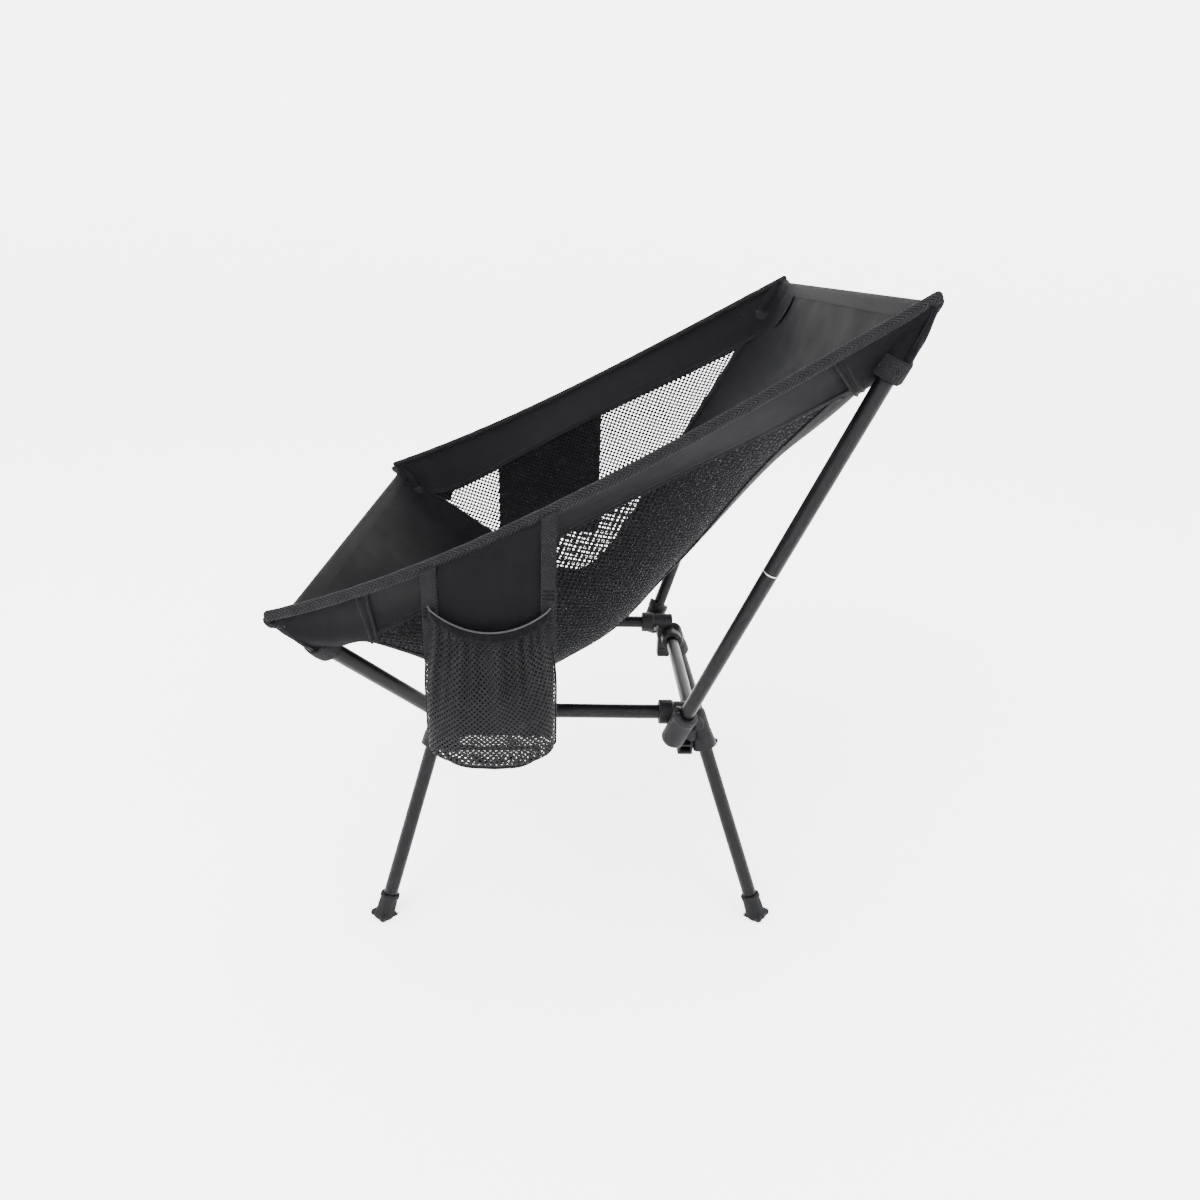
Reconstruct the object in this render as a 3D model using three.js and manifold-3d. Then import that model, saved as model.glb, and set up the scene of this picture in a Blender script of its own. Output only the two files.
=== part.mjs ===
// Ultralight backpacking chair: a square of rails held by four moulded hubs, four splayed legs,
// four seat poles and a removable fabric seat that hangs from the pole tips by its corner pockets.
// Millimetres, +Z up. The chair faces -Y, +X is the sitter's left, the feet stand on z = 0.
import * as THREE from "three";
import { mergeVertices } from "three/addons/utils/BufferGeometryUtils.js";
import Module from "manifold-3d";

const wasm = await Module();
wasm.setup();

// ---------------------------------------------------------------- driving dimensions
const TUBE_R = 7.25; // every frame tube: 14.5 mm outside
const TUBE_WALL = 0.9;
const SOCKET_GAP = 0.3; // radial clearance of a tube in its socket
const SIDES = 16;

const HUB_X = 113.2; // side rail axis, from the middle
const HUB_Y = 123; // hub centre, from the middle of the base
const SIDE_RAIL_Z = 215;
const CROSS_RAIL_Z = 202; // the cross rails pass below the side rails
const CROSS_RAIL_Y = 128;
const COLLAR_R = 12.5;
const SIDE_COLLAR_REACH = 31.5; // hub centre to the mouth of the side rail's collar
const CROSS_COLLAR_REACH = 32;
const SIDE_RAIL_INSERT = 22;
const CROSS_RAIL_INSERT = 15;

const LEG_TOP = { x: 102, y: 128.5, z: 215 }; // a point on the leg's axis at rail height
const LEG_FOOT_X = 170.1; // where the leg's axis meets the ground
const REAR_FOOT_Y = 203.2;
const FRONT_FOOT_Y = 191.1;
const LEG_START = 14; // along the leg's axis from LEG_TOP: floor of the socket
const LEG_MOUTH = 45.5; // mouth of the leg socket
const FOOT_HEIGHT = 27;
const FOOT_R = 9.9;
const FOOT_LUG_R = 4.2;
const FOOT_LUG_CIRCLE = 9.4;

const REAR_POLE = {
  base: new THREE.Vector3(139.5, 111.1, 215.1),
  tip: new THREE.Vector3(234.4, 254.2, 626.1),
};
const FRONT_POLE = {
  base: new THREE.Vector3(134, -115.6, 215),
  tip: new THREE.Vector3(253.3, -235.8, 380.8),
};
const POLE_SOCKET_FLOOR = -19; // along the pole's axis from its base point
const POLE_SOCKET_END = -25;
const POLE_MOUTH = 15;
const REAR_POLE_JOINT = 195; // where the two halves of a back pole meet
const FERRULE_LOW = 165;
const FERRULE_HIGH = 225;
const REAR_POLE_TOP = 385; // where the tube ends and its end cap starts
const FRONT_POLE_TOP = 174;
const TIP_R = 7.6;
const TIP_LENGTH = 13;
const CORD_R = 1.4;

const RIVET_HEAD_R = 3.1;
const RIVET_SHANK_R = 1.6;

// The seat: its edge runs from the front corner to the back corner with a slight sag,
// the side bands slope in from it, and the cloth between them hangs like a flat-bottomed U.
const SEAT_FRONT = new THREE.Vector3(253.3, -236.5, 379);
const SEAT_BACK = new THREE.Vector3(234.4, 256, 626);
const EDGE_BOW = 24;
const EDGE_SAG = 15;
const EDGE_SKEW = 0.4;
const SECTION_POWER = 5.2;
const DEPTH_STATIONS = [0, 0.15, 0.35, 0.55, 0.75, 0.9, 1];
const DEPTHS = [9, 141, 162, 126, 81, 52, 4];
const DEPTH_LEAN = 0.535; // how far the seat moves back for each millimetre it hangs
const CLOTH = 1.4;
const BINDING_R = 4.2;
const BAND_WIDTH = 66.5;
const BAND_SLOPE = 1.187; // of the side bands at the corners, in radians below the horizontal
const BAND_EASE = 0.653; // and how much less it is midway
const WINDOW_STATIONS = [0.05, 0.07, 0.115, 0.16, 0.205, 0.26, 0.335, 0.415, 0.515, 0.665, 0.765, 0.867];
const WINDOW_INNER = [0.86, 0.832, 0.766, 0.7, 0.621, 0.497, 0.4, 0.425, 0.49, 0.6, 0.69, 0.832];

const POCKET_FRONT_Y = -113;
const POCKET_BACK_Y = -13;
const POCKET_X = 273.8; // outer face of the hanging panel
const POCKET_MOUTH_Z = 390;
const POCKET_BOTTOM_Z = 258;

// ---------------------------------------------------------------- materials
const TUBE_BLACK = { color: 0x16171a, roughness: 0.35, metalness: 0.6 };
const NYLON_GREY = { color: 0x26272a, roughness: 0.6, metalness: 0 };
const RUBBER_GREY = { color: 0x202124, roughness: 0.8, metalness: 0 };
const STEEL_BLACK = { color: 0x2a2b2e, roughness: 0.4, metalness: 0.8 };
const CORD_BLACK = { color: 0x1b1b1d, roughness: 0.9, metalness: 0 };
const OXFORD_BLACK = { color: 0x17171a, roughness: 0.85, metalness: 0 };
const MESH_BLACK = { color: 0x121214, roughness: 0.9, metalness: 0 };
const WEBBING_BLACK = { color: 0x1d1d20, roughness: 0.9, metalness: 0 };

// ---------------------------------------------------------------- helpers
const UP = new THREE.Vector3(0, 1, 0);

function named(name, geometry, look) {
  const mesh = new THREE.Mesh(geometry, new THREE.MeshStandardMaterial(look));
  mesh.name = name;
  return mesh;
}

// A point at a distance along the line from a through b.
function along(a, b, distance) {
  return b.clone().sub(a).normalize().multiplyScalar(distance).add(a);
}

// Stands an object whose own axis is +Y on the line from a towards b.
function standOn(object, a, b) {
  object.position.copy(a);
  object.quaternion.setFromUnitVectors(UP, b.clone().sub(a).normalize());
  return object;
}

function turned(profile, sides = SIDES) {
  return new THREE.LatheGeometry(profile.map(([r, y]) => new THREE.Vector2(r, y)), sides);
}

function rod(radius, length, sides = SIDES) {
  return turned([[0, 0], [radius, 0], [radius, length], [0, length]], sides);
}

function pipe(outer, inner, length, sides = SIDES) {
  return turned([[inner, 0], [outer, 0], [outer, length], [inner, length], [inner, 0]], sides);
}

// A geometry moved onto the line from a towards b, for joining and cutting.
function placed(geometry, a, b) {
  const holder = standOn(new THREE.Object3D(), a, b);
  holder.updateMatrix();
  return geometry.clone().applyMatrix4(holder.matrix);
}

function toSolid(geometry) {
  const bare = geometry.clone();
  bare.deleteAttribute("normal");
  bare.deleteAttribute("uv");
  const merged = mergeVertices(bare, 1e-4);
  return new wasm.Manifold(
    new wasm.Mesh({
      numProp: 3,
      vertProperties: new Float32Array(merged.attributes.position.array),
      triVerts: new Uint32Array(merged.index.array),
    }),
  );
}

function fromSolid(solid) {
  const mesh = solid.getMesh();
  const geometry = new THREE.BufferGeometry();
  geometry.setAttribute("position", new THREE.BufferAttribute(mesh.vertProperties, 3));
  geometry.setIndex(new THREE.BufferAttribute(mesh.triVerts, 1));
  const flat = geometry.toNonIndexed();
  flat.computeVertexNormals();
  return flat;
}

function join(geometries) {
  return geometries.map(toSolid).reduce((whole, piece) => whole.add(piece));
}

function cut(solid, geometries) {
  return geometries.map(toSolid).reduce((rest, tool) => rest.subtract(tool), solid);
}

function boxAt(width, depth, height, x, y, z) {
  return new THREE.BoxGeometry(width, depth, height).translate(x, y, z);
}

// ---------------------------------------------------------------- axes of the frame
// end is +1 at the rear and -1 at the front. All are for the +X side.
function legAxis(end) {
  const footY = end > 0 ? REAR_FOOT_Y : -FRONT_FOOT_Y;
  return {
    top: new THREE.Vector3(LEG_TOP.x, LEG_TOP.y * end, LEG_TOP.z),
    ground: new THREE.Vector3(LEG_FOOT_X, footY, 0),
  };
}

function poleAxis(end) {
  return end > 0 ? REAR_POLE : FRONT_POLE;
}

// ---------------------------------------------------------------- hub
// The collars and sockets of one moulded hub, on the +X side.
function hubGeometry(end) {
  const leg = legAxis(end);
  const pole = poleAxis(end);
  const centreY = HUB_Y * end;
  const legPoint = (t) => along(leg.top, leg.ground, t);
  const polePoint = (t) => along(pole.base, pole.tip, t);
  const sideMouth = new THREE.Vector3(HUB_X, centreY - SIDE_COLLAR_REACH * end, SIDE_RAIL_Z);
  const sideEnd = new THREE.Vector3(HUB_X, centreY + 7 * end, SIDE_RAIL_Z);
  const crossMouth = new THREE.Vector3(HUB_X - CROSS_COLLAR_REACH, CROSS_RAIL_Y * end, CROSS_RAIL_Z);
  const crossEnd = new THREE.Vector3(HUB_X + 6, CROSS_RAIL_Y * end, CROSS_RAIL_Z);

  const ringed = (length) =>
    turned([
      [0, 0],
      [COLLAR_R - 0.6, 0],
      [COLLAR_R, 0.8],
      [COLLAR_R, 12.5],
      [COLLAR_R - 1.3, 13.5],
      [COLLAR_R - 1.3, length - 2],
      [COLLAR_R - 3, length],
      [0, length],
    ]);
  const legSocket = turned([
    [0, 4],
    [10.2, 4],
    [11.3, 8],
    [11.3, LEG_MOUTH - 14],
    [12, LEG_MOUTH - 11],
    [12.4, LEG_MOUTH - 1],
    [11.8, LEG_MOUTH],
    [0, LEG_MOUTH],
  ]);
  const poleLength = POLE_MOUTH - POLE_SOCKET_END;
  const poleSocket = turned([
    [0, 0],
    [8.5, 0],
    [11, 1.4],
    [12, 4],
    [12, poleLength - 1],
    [11.4, poleLength],
    [0, poleLength],
  ]);
  const midX = (HUB_X + pole.base.x) / 2;
  const web = polePoint(-6);
  const body = join([
    placed(ringed(sideMouth.distanceTo(sideEnd)), sideMouth, sideEnd),
    placed(ringed(crossMouth.distanceTo(crossEnd)), crossMouth, crossEnd),
    placed(legSocket, leg.top, leg.ground),
    placed(poleSocket, polePoint(POLE_SOCKET_END), pole.tip),
    boxAt(web.x - HUB_X, 15, 15, midX, (web.y + centreY - 6 * end) / 2, SIDE_RAIL_Z - 5),
    boxAt(17, 17, 20, HUB_X, (CROSS_RAIL_Y - 8) * end, (SIDE_RAIL_Z + CROSS_RAIL_Z) / 2 - 3),
    boxAt(15, 16, 40, HUB_X + 1, (CROSS_RAIL_Y - 15) * end, 184),
  ]);

  const boreR = TUBE_R + SOCKET_GAP;
  const bore = (from, to, extra) => placed(rod(boreR, from.distanceTo(to) + extra), from, to);
  const sideStop = new THREE.Vector3(HUB_X, sideMouth.y + (SIDE_RAIL_INSERT + 0.3) * end, SIDE_RAIL_Z);
  const crossStop = new THREE.Vector3(
    crossMouth.x + CROSS_RAIL_INSERT + 0.3, CROSS_RAIL_Y * end, CROSS_RAIL_Z);
  const windows = [0, 1].map((step) =>
    boxAt(10, 9.5, 8.2, HUB_X + 6, (CROSS_RAIL_Y - 15) * end, 172.5 + 10.5 * step));
  return cut(body, [
    bore(sideStop, sideMouth, 5),
    bore(crossStop, crossMouth, 5),
    bore(legPoint(LEG_START - 0.4), leg.ground, -legPoint(LEG_START).distanceTo(leg.ground) + 40),
    bore(polePoint(POLE_SOCKET_FLOOR - 0.4), polePoint(POLE_MOUTH), 6),
    placed(rod(RIVET_SHANK_R + 0.3, 12, 12), ...sideRivetLine(end)),
    placed(rod(RIVET_SHANK_R + 0.3, 12, 12), ...crossRivetLine(end)),
    ...windows,
  ]);
}

// A rivet's line: where its shank ends inside the wall, and the way its head faces.
function sideRivetLine(end) {
  const y = (HUB_Y - 14) * end;
  const inner = new THREE.Vector3(HUB_X - TUBE_R - 0.8, y, SIDE_RAIL_Z - 2);
  return [inner, inner.clone().add(new THREE.Vector3(-1, 0, 0))];
}

function crossRivetLine(end) {
  const inner = new THREE.Vector3(HUB_X - 22, (CROSS_RAIL_Y + TUBE_R + 0.8) * end, CROSS_RAIL_Z);
  return [inner, inner.clone().add(new THREE.Vector3(0, end, 0))];
}

function rivet(name, line, wall) {
  const profile = [
    [0, 0],
    [RIVET_SHANK_R, 0],
    [RIVET_SHANK_R, wall + 0.3],
    [RIVET_HEAD_R, wall + 0.3],
    [RIVET_HEAD_R * 0.86, wall + 1.3],
    [RIVET_HEAD_R * 0.5, wall + 1.9],
    [0, wall + 2.1],
  ];
  return standOn(named(name, turned(profile, 12), STEEL_BLACK), ...line);
}

// ---------------------------------------------------------------- foot
// A fluted rubber cup on the leg's end, with four lugs and a worn flat that sits on the ground.
function footGeometry(end) {
  const leg = legAxis(end);
  const cup = turned([
    [0, 0],
    [FOOT_R + 0.8, 0],
    [FOOT_R + 0.8, 4],
    [FOOT_R, 7],
    [FOOT_R - 0.5, FOOT_HEIGHT - 1],
    [FOOT_R - 1.1, FOOT_HEIGHT],
    [0, FOOT_HEIGHT],
  ]);
  const lugs = [0, 1, 2, 3].map((k) => {
    const angle = ((k + 0.5) * Math.PI) / 2;
    return rod(FOOT_LUG_R, 6.5, 12)
      .translate(FOOT_LUG_CIRCLE * Math.cos(angle), 0, FOOT_LUG_CIRCLE * Math.sin(angle));
  });
  const start = along(leg.ground, leg.top, -2.6);
  const shape = placed(fromSolid(join([cup, ...lugs])), start, leg.top);
  const bore = placed(rod(TUBE_R + 0.3, 40), along(leg.ground, leg.top, 5), leg.top);
  const ground = boxAt(80, 80, 40, leg.ground.x, leg.ground.y, -20);
  return cut(toSolid(shape), [bore, ground]);
}

// ---------------------------------------------------------------- frame
function tube(name, a, b) {
  return standOn(named(name, pipe(TUBE_R, TUBE_R - TUBE_WALL, a.distanceTo(b)), TUBE_BLACK), a, b);
}

function cord(name, a, b) {
  return standOn(named(name, rod(CORD_R, a.distanceTo(b), 8), CORD_BLACK), a, b);
}

function poleTip(name, pole, start) {
  const cap = turned([
    [0, 0.3],
    [TIP_R - 0.6, 0.3],
    [TIP_R, 1.4],
    [TIP_R, TIP_LENGTH - 5],
    [TIP_R * 0.82, TIP_LENGTH - 2],
    [TIP_R * 0.45, TIP_LENGTH - 0.4],
    [0, TIP_LENGTH],
  ]);
  return standOn(named(name, cap, NYLON_GREY), along(pole.base, pole.tip, start), pole.tip);
}

// One side of the frame, built for +X. The other side is its mirror image.
function sideOfFrame(side) {
  const group = new THREE.Group();
  for (const [place, end] of [["front", -1], ["rear", 1]]) {
    const leg = legAxis(end);
    group.add(named(`hub_${place}_${side}`, fromSolid(hubGeometry(end)), NYLON_GREY));
    group.add(rivet(`rail_rivet_${place}_${side}`, sideRivetLine(end), COLLAR_R - TUBE_R - 0.8));
    group.add(rivet(`cross_rivet_${place}_${side}`, crossRivetLine(end), COLLAR_R - TUBE_R - 0.8));
    group.add(tube(
      `leg_${place}_${side}`,
      along(leg.top, leg.ground, LEG_START),
      along(leg.ground, leg.top, 5.5),
    ));
    group.add(named(`foot_${place}_${side}`, fromSolid(footGeometry(end)), RUBBER_GREY));
    group.add(cord(
      `leg_cord_${place}_${side}`,
      along(leg.top, leg.ground, LEG_START + 0.3),
      along(leg.ground, leg.top, 14),
    ));
  }

  const railEnd = HUB_Y - SIDE_COLLAR_REACH + SIDE_RAIL_INSERT;
  group.add(tube(
    `side_rail_${side}`,
    new THREE.Vector3(HUB_X, -railEnd, SIDE_RAIL_Z),
    new THREE.Vector3(HUB_X, railEnd, SIDE_RAIL_Z),
  ));

  const front = (t) => along(FRONT_POLE.base, FRONT_POLE.tip, t);
  const rear = (t) => along(REAR_POLE.base, REAR_POLE.tip, t);
  group.add(tube(`front_pole_${side}`, front(POLE_SOCKET_FLOOR), front(FRONT_POLE_TOP)));
  group.add(tube(`back_pole_lower_${side}`, rear(POLE_SOCKET_FLOOR), rear(REAR_POLE_JOINT - 0.15)));
  group.add(tube(`back_pole_upper_${side}`, rear(REAR_POLE_JOINT + 0.15), rear(REAR_POLE_TOP)));
  const sleeveR = TUBE_R - TUBE_WALL - 0.3;
  const sleeve = named(
    `back_pole_ferrule_${side}`,
    pipe(sleeveR, sleeveR - 0.9, FERRULE_HIGH - FERRULE_LOW),
    TUBE_BLACK,
  );
  group.add(standOn(sleeve, rear(FERRULE_LOW), REAR_POLE.tip));
  group.add(poleTip(`pole_tip_front_${side}`, FRONT_POLE, FRONT_POLE_TOP));
  group.add(poleTip(`pole_tip_rear_${side}`, REAR_POLE, REAR_POLE_TOP));
  group.add(cord(
    `front_pole_cord_${side}`, front(POLE_SOCKET_FLOOR + 0.3), front(FRONT_POLE_TOP - 5)));
  group.add(cord(
    `back_pole_cord_${side}`, rear(POLE_SOCKET_FLOOR + 0.3), rear(REAR_POLE_TOP - 5)));
  return group;
}

function crossRail(name, end) {
  const reach = HUB_X - CROSS_COLLAR_REACH + CROSS_RAIL_INSERT;
  return tube(
    name,
    new THREE.Vector3(-reach, CROSS_RAIL_Y * end, CROSS_RAIL_Z),
    new THREE.Vector3(reach, CROSS_RAIL_Y * end, CROSS_RAIL_Z),
  );
}

// ---------------------------------------------------------------- seat surface
function smooth(stations, values, v) {
  const last = stations.length - 1;
  let i = 0;
  while (i < last - 1 && v > stations[i + 1]) i += 1;
  const slope = (k) => {
    const a = Math.max(k - 1, 0);
    const b = Math.min(k + 1, last);
    return (values[b] - values[a]) / (stations[b] - stations[a]);
  };
  const span = stations[i + 1] - stations[i];
  const t = THREE.MathUtils.clamp((v - stations[i]) / span, 0, 1);
  const t2 = t * t;
  const t3 = t2 * t;
  return (
    (2 * t3 - 3 * t2 + 1) * values[i] +
    (t3 - 2 * t2 + t) * span * slope(i) +
    (3 * t2 - 2 * t3) * values[i + 1] +
    (t3 - t2) * span * slope(i + 1)
  );
}

function seatEdge(v) {
  const bow = 4 * v * (1 - v) * (1 + EDGE_SKEW * (1 - 2 * v));
  const edge = SEAT_FRONT.clone().lerp(SEAT_BACK, v);
  edge.x += EDGE_BOW * bow;
  edge.z -= EDGE_SAG * bow;
  return edge;
}

const bandSlope = (v) => BAND_SLOPE - BAND_EASE * 4 * v * (1 - v);
const bandInner = (v) => 1 - (BAND_WIDTH * Math.cos(bandSlope(v))) / seatEdge(v).x;

// s runs from -1 on the right edge to 1 on the left, v from 0 at the front to 1 at the top.
function seatPoint(s, v) {
  const edge = seatEdge(v);
  const depth = smooth(DEPTH_STATIONS, DEPTHS, v);
  const seam = bandInner(v);
  const bandDrop = depth * (1 - Math.exp((-BAND_WIDTH * Math.sin(bandSlope(v))) / depth));
  const out = Math.abs(s);
  const hang = out > seam
    ? (bandDrop * (1 - out)) / (1 - seam)
    : bandDrop + (depth - bandDrop) * (1 - (out / seam) ** SECTION_POWER);
  return new THREE.Vector3(edge.x * s, edge.y + DEPTH_LEAN * hang, edge.z - hang);
}

function seatNormal(s, v) {
  const step = 1e-3;
  const s1 = Math.min(s + step, 1);
  const v1 = Math.min(v + step, 1);
  const across = seatPoint(s1, v).sub(seatPoint(s1 - step, v));
  const upward = seatPoint(s, v1).sub(seatPoint(s, v1 - step));
  return across.cross(upward).normalize();
}

// The s at a distance along the cloth from the left edge.
function seatInset(v, distance) {
  let s = 1;
  let left = distance;
  let here = seatPoint(s, v);
  while (left > 0 && s > 0.02) {
    const next = seatPoint(s - 0.004, v);
    left -= here.distanceTo(next);
    s -= 0.004;
    here = next;
  }
  return s;
}

// A closed panel of cloth over a grid of points, thickened along the grid's normals.
function clothPanel(point, normal, columns, rows, inner, outer) {
  const positions = [];
  const index = [];
  const layer = (columns + 1) * (rows + 1);
  for (const offset of [inner, outer]) {
    for (let j = 0; j <= rows; j += 1) {
      for (let i = 0; i <= columns; i += 1) {
        const at = point(i / columns, j / rows);
        const out = normal(i / columns, j / rows);
        positions.push(...at.addScaledVector(out, offset).toArray());
      }
    }
  }
  const id = (k, i, j) => k * layer + j * (columns + 1) + i;
  const quad = (a, b, c, d) => index.push(a, b, c, a, c, d);
  for (let j = 0; j < rows; j += 1) {
    for (let i = 0; i < columns; i += 1) {
      quad(id(1, i, j), id(1, i + 1, j), id(1, i + 1, j + 1), id(1, i, j + 1));
      quad(id(0, i, j), id(0, i, j + 1), id(0, i + 1, j + 1), id(0, i + 1, j));
    }
  }
  for (let i = 0; i < columns; i += 1) {
    quad(id(0, i, 0), id(0, i + 1, 0), id(1, i + 1, 0), id(1, i, 0));
    quad(id(0, i + 1, rows), id(0, i, rows), id(1, i, rows), id(1, i + 1, rows));
  }
  for (let j = 0; j < rows; j += 1) {
    quad(id(0, 0, j + 1), id(0, 0, j), id(1, 0, j), id(1, 0, j + 1));
    quad(id(0, columns, j), id(0, columns, j + 1), id(1, columns, j + 1), id(1, columns, j));
  }
  const geometry = new THREE.BufferGeometry();
  geometry.setAttribute("position", new THREE.Float32BufferAttribute(positions, 3));
  geometry.setIndex(index);
  geometry.computeVertexNormals();
  return geometry;
}

// A panel between two s limits that follow v.
function seatPanel(low, high, v0, v1, columns, rows) {
  const v = (b) => v0 + (v1 - v0) * b;
  const s = (a, b) => THREE.MathUtils.lerp(low(v(b)), high(v(b)), a);
  return clothPanel(
    (a, b) => seatPoint(s(a, b), v(b)),
    (a, b) => seatNormal(s(a, b), v(b)),
    columns, rows, -CLOTH / 2, CLOTH / 2,
  );
}

const bandOuter = (v) => seatInset(v, BINDING_R + 1.9);
const END_INSET = 0.016;
const ROWS = 24; // every panel is divided along the same lines
const WINDOW_FIRST = 1;
const WINDOW_LAST = 21;
const rowAt = (k) => END_INSET + ((1 - 2 * END_INSET) * k) / ROWS;
const windowInner = (v) =>
  Math.min(smooth(WINDOW_STATIONS, WINDOW_INNER, v), bandInner(v) - 0.014);

function centrePanel() {
  const open = (v) => v > rowAt(WINDOW_FIRST) - 1e-6 && v < rowAt(WINDOW_LAST) + 1e-6;
  const reach = (v) => (open(v) ? windowInner(v) : bandInner(v) - 0.01);
  return seatPanel((v) => -reach(v), reach, rowAt(0), rowAt(ROWS), 12, ROWS);
}

function meshPanel() {
  const low = (v) => windowInner(v) + 0.005;
  const high = (v) => Math.max(bandInner(v) - 0.004, low(v) + 0.004);
  const rows = WINDOW_LAST - WINDOW_FIRST;
  return seatPanel(low, high, rowAt(WINDOW_FIRST), rowAt(WINDOW_LAST), 5, rows);
}

function sideBand() {
  return seatPanel(bandInner, bandOuter, rowAt(0), rowAt(ROWS), 2, ROWS);
}

// The rolled binding that runs once round the whole rim of the seat: a closed ring of sections.
function edgeBinding() {
  const rim = [];
  const sideSteps = 24;
  const endSteps = 12;
  for (let k = 0; k < sideSteps; k += 1) rim.push([1, k / sideSteps]);
  for (let k = 0; k < endSteps; k += 1) rim.push([1 - (2 * k) / endSteps, 1]);
  for (let k = 0; k < sideSteps; k += 1) rim.push([-1, 1 - k / sideSteps]);
  for (let k = 0; k < endSteps; k += 1) rim.push([-1 + (2 * k) / endSteps, 0]);
  const points = rim.map(([s, v]) => seatPoint(s, v));
  const count = points.length;
  const facets = 6;
  const positions = [];
  const index = [];
  for (let k = 0; k < count; k += 1) {
    const before = points[(k + count - 1) % count];
    const after = points[(k + 1) % count];
    const forward = after.clone().sub(before).normalize();
    const side = new THREE.Vector3(0, -0.45, 0.89).cross(forward).normalize();
    const up = forward.clone().cross(side).normalize();
    for (let f = 0; f < facets; f += 1) {
      const angle = (2 * Math.PI * f) / facets;
      const at = points[k].clone();
      at.addScaledVector(side, BINDING_R * Math.cos(angle));
      at.addScaledVector(up, BINDING_R * Math.sin(angle));
      positions.push(at.x, at.y, at.z);
    }
  }
  for (let k = 0; k < count; k += 1) {
    const next = (k + 1) % count;
    for (let f = 0; f < facets; f += 1) {
      const g = (f + 1) % facets;
      const a = k * facets + f;
      const b = k * facets + g;
      const c = next * facets + g;
      const d = next * facets + f;
      index.push(a, b, c, a, c, d);
    }
  }
  const geometry = new THREE.BufferGeometry();
  geometry.setAttribute("position", new THREE.Float32BufferAttribute(positions, 3));
  geometry.setIndex(index);
  geometry.computeVertexNormals();
  return geometry;
}

// A hood over a pole's tip: open underneath, so that it lifts straight off.
function cornerPocket(end) {
  const pole = poleAxis(end);
  const top = end > 0 ? REAR_POLE_TOP : FRONT_POLE_TOP;
  const low = along(pole.base, pole.tip, top - (end > 0 ? 42 : 30));
  const high = along(pole.base, pole.tip, top + TIP_LENGTH + 1.6);
  const length = low.distanceTo(high);
  const shell = placed(rod(TIP_R + 2.4, length, 12), low, high);
  const mouth = along(low, high, -2);
  const hollowShape = placed(rod(TIP_R + 1, length + 0.6, 12), mouth, high);
  const hollow = toSolid(hollowShape);
  const drops = [0, 1, 2, 3, 4, 5].map((k) => {
    return toSolid(hollowShape.clone().translate(0, 0, -(k + 1) * 7));
  });
  let solid = toSolid(shell).subtract(hollow);
  for (const drop of drops) solid = solid.subtract(drop);
  return solid;
}

// ---------------------------------------------------------------- drink pocket
// A webbing-edged panel that hangs from the left edge, with a gathered mesh bag.
function pocketHangZ(y) {
  let v = 0;
  while (seatPoint(1, v).y < y && v < 1) v += 0.005;
  return seatPoint(1, v).z - BINDING_R - 1;
}

function hangingSheet(y0, y1, bottom, x0, x1, columns) {
  const y = (a) => THREE.MathUtils.lerp(y0, y1, a);
  const out = new THREE.Vector3(1, 0, 0);
  return clothPanel(
    (a, b) => {
      const top = pocketHangZ(y(a));
      return new THREE.Vector3(0, y(a), THREE.MathUtils.lerp(bottom(y(a)), top, b));
    },
    () => out.clone(),
    columns, 3, x0, x1,
  );
}

function drinkPocket() {
  const group = new THREE.Group();
  const strap = 13;
  const panelBottom = () => POCKET_MOUTH_Z - 22;
  group.add(named(
    "pocket_panel",
    hangingSheet(
      POCKET_FRONT_Y + strap + 0.5, POCKET_BACK_Y - strap - 0.5, panelBottom,
      POCKET_X - 1.4, POCKET_X, 6),
    OXFORD_BLACK,
  ));
  const strapAt = (name, y) => named(
    name,
    hangingSheet(y, y + strap, panelBottom, POCKET_X - 1.6, POCKET_X + 0.4, 1),
    WEBBING_BLACK,
  );
  group.add(strapAt("pocket_strap_front", POCKET_FRONT_Y));
  group.add(strapAt("pocket_strap_back", POCKET_BACK_Y - strap));

  const middle = (POCKET_FRONT_Y + POCKET_BACK_Y) / 2;
  const halfY = (POCKET_BACK_Y - POCKET_FRONT_Y) / 2;
  const halfX = 11;
  const centreX = POCKET_X - 2.8 - halfX;
  const bagTop = POCKET_MOUTH_Z - 10;
  const depth = bagTop - POCKET_BOTTOM_Z;
  const squash = (geometry) => geometry
    .rotateX(Math.PI / 2)
    .scale(halfX / 50, halfY / 50, 1);
  const bag = squash(turned([
    [0, 0],
    [38, 0],
    [47, 5],
    [50, 16],
    [50, depth],
    [47, depth],
    [47, 17],
    [44.5, 7.5],
    [36.5, 3],
    [0, 3],
  ], 24));
  const bagMesh = named("pocket_mesh_bag", bag, MESH_BLACK);
  bagMesh.position.set(centreX, middle, POCKET_BOTTOM_Z);
  group.add(bagMesh);
  const rim = squash(turned([
    [46.5, 0],
    [50.5, 0],
    [50.5, 8],
    [46.5, 8],
    [46.5, 0],
  ], 24));
  const rimMesh = named("pocket_elastic_rim", rim, WEBBING_BLACK);
  rimMesh.position.set(centreX, middle, bagTop + 0.4);
  group.add(rimMesh);
  return group;
}

// A flat stash pocket that hangs outside the right edge.
function stashPocket() {
  const x = POCKET_X - 1.4;
  const sheet = hangingSheet(-98, 34, () => 318, -x - 1.4, -x, 8);
  return named("stash_pocket", sheet, OXFORD_BLACK);
}

// ---------------------------------------------------------------- assembly
const chair = new THREE.Group();
chair.add(sideOfFrame("left"));
const mirrored = new THREE.Group();
mirrored.scale.x = -1;
mirrored.add(sideOfFrame("right"));
chair.add(mirrored);
chair.add(crossRail("cross_rail_front", -1));
chair.add(crossRail("cross_rail_rear", 1));

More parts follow.
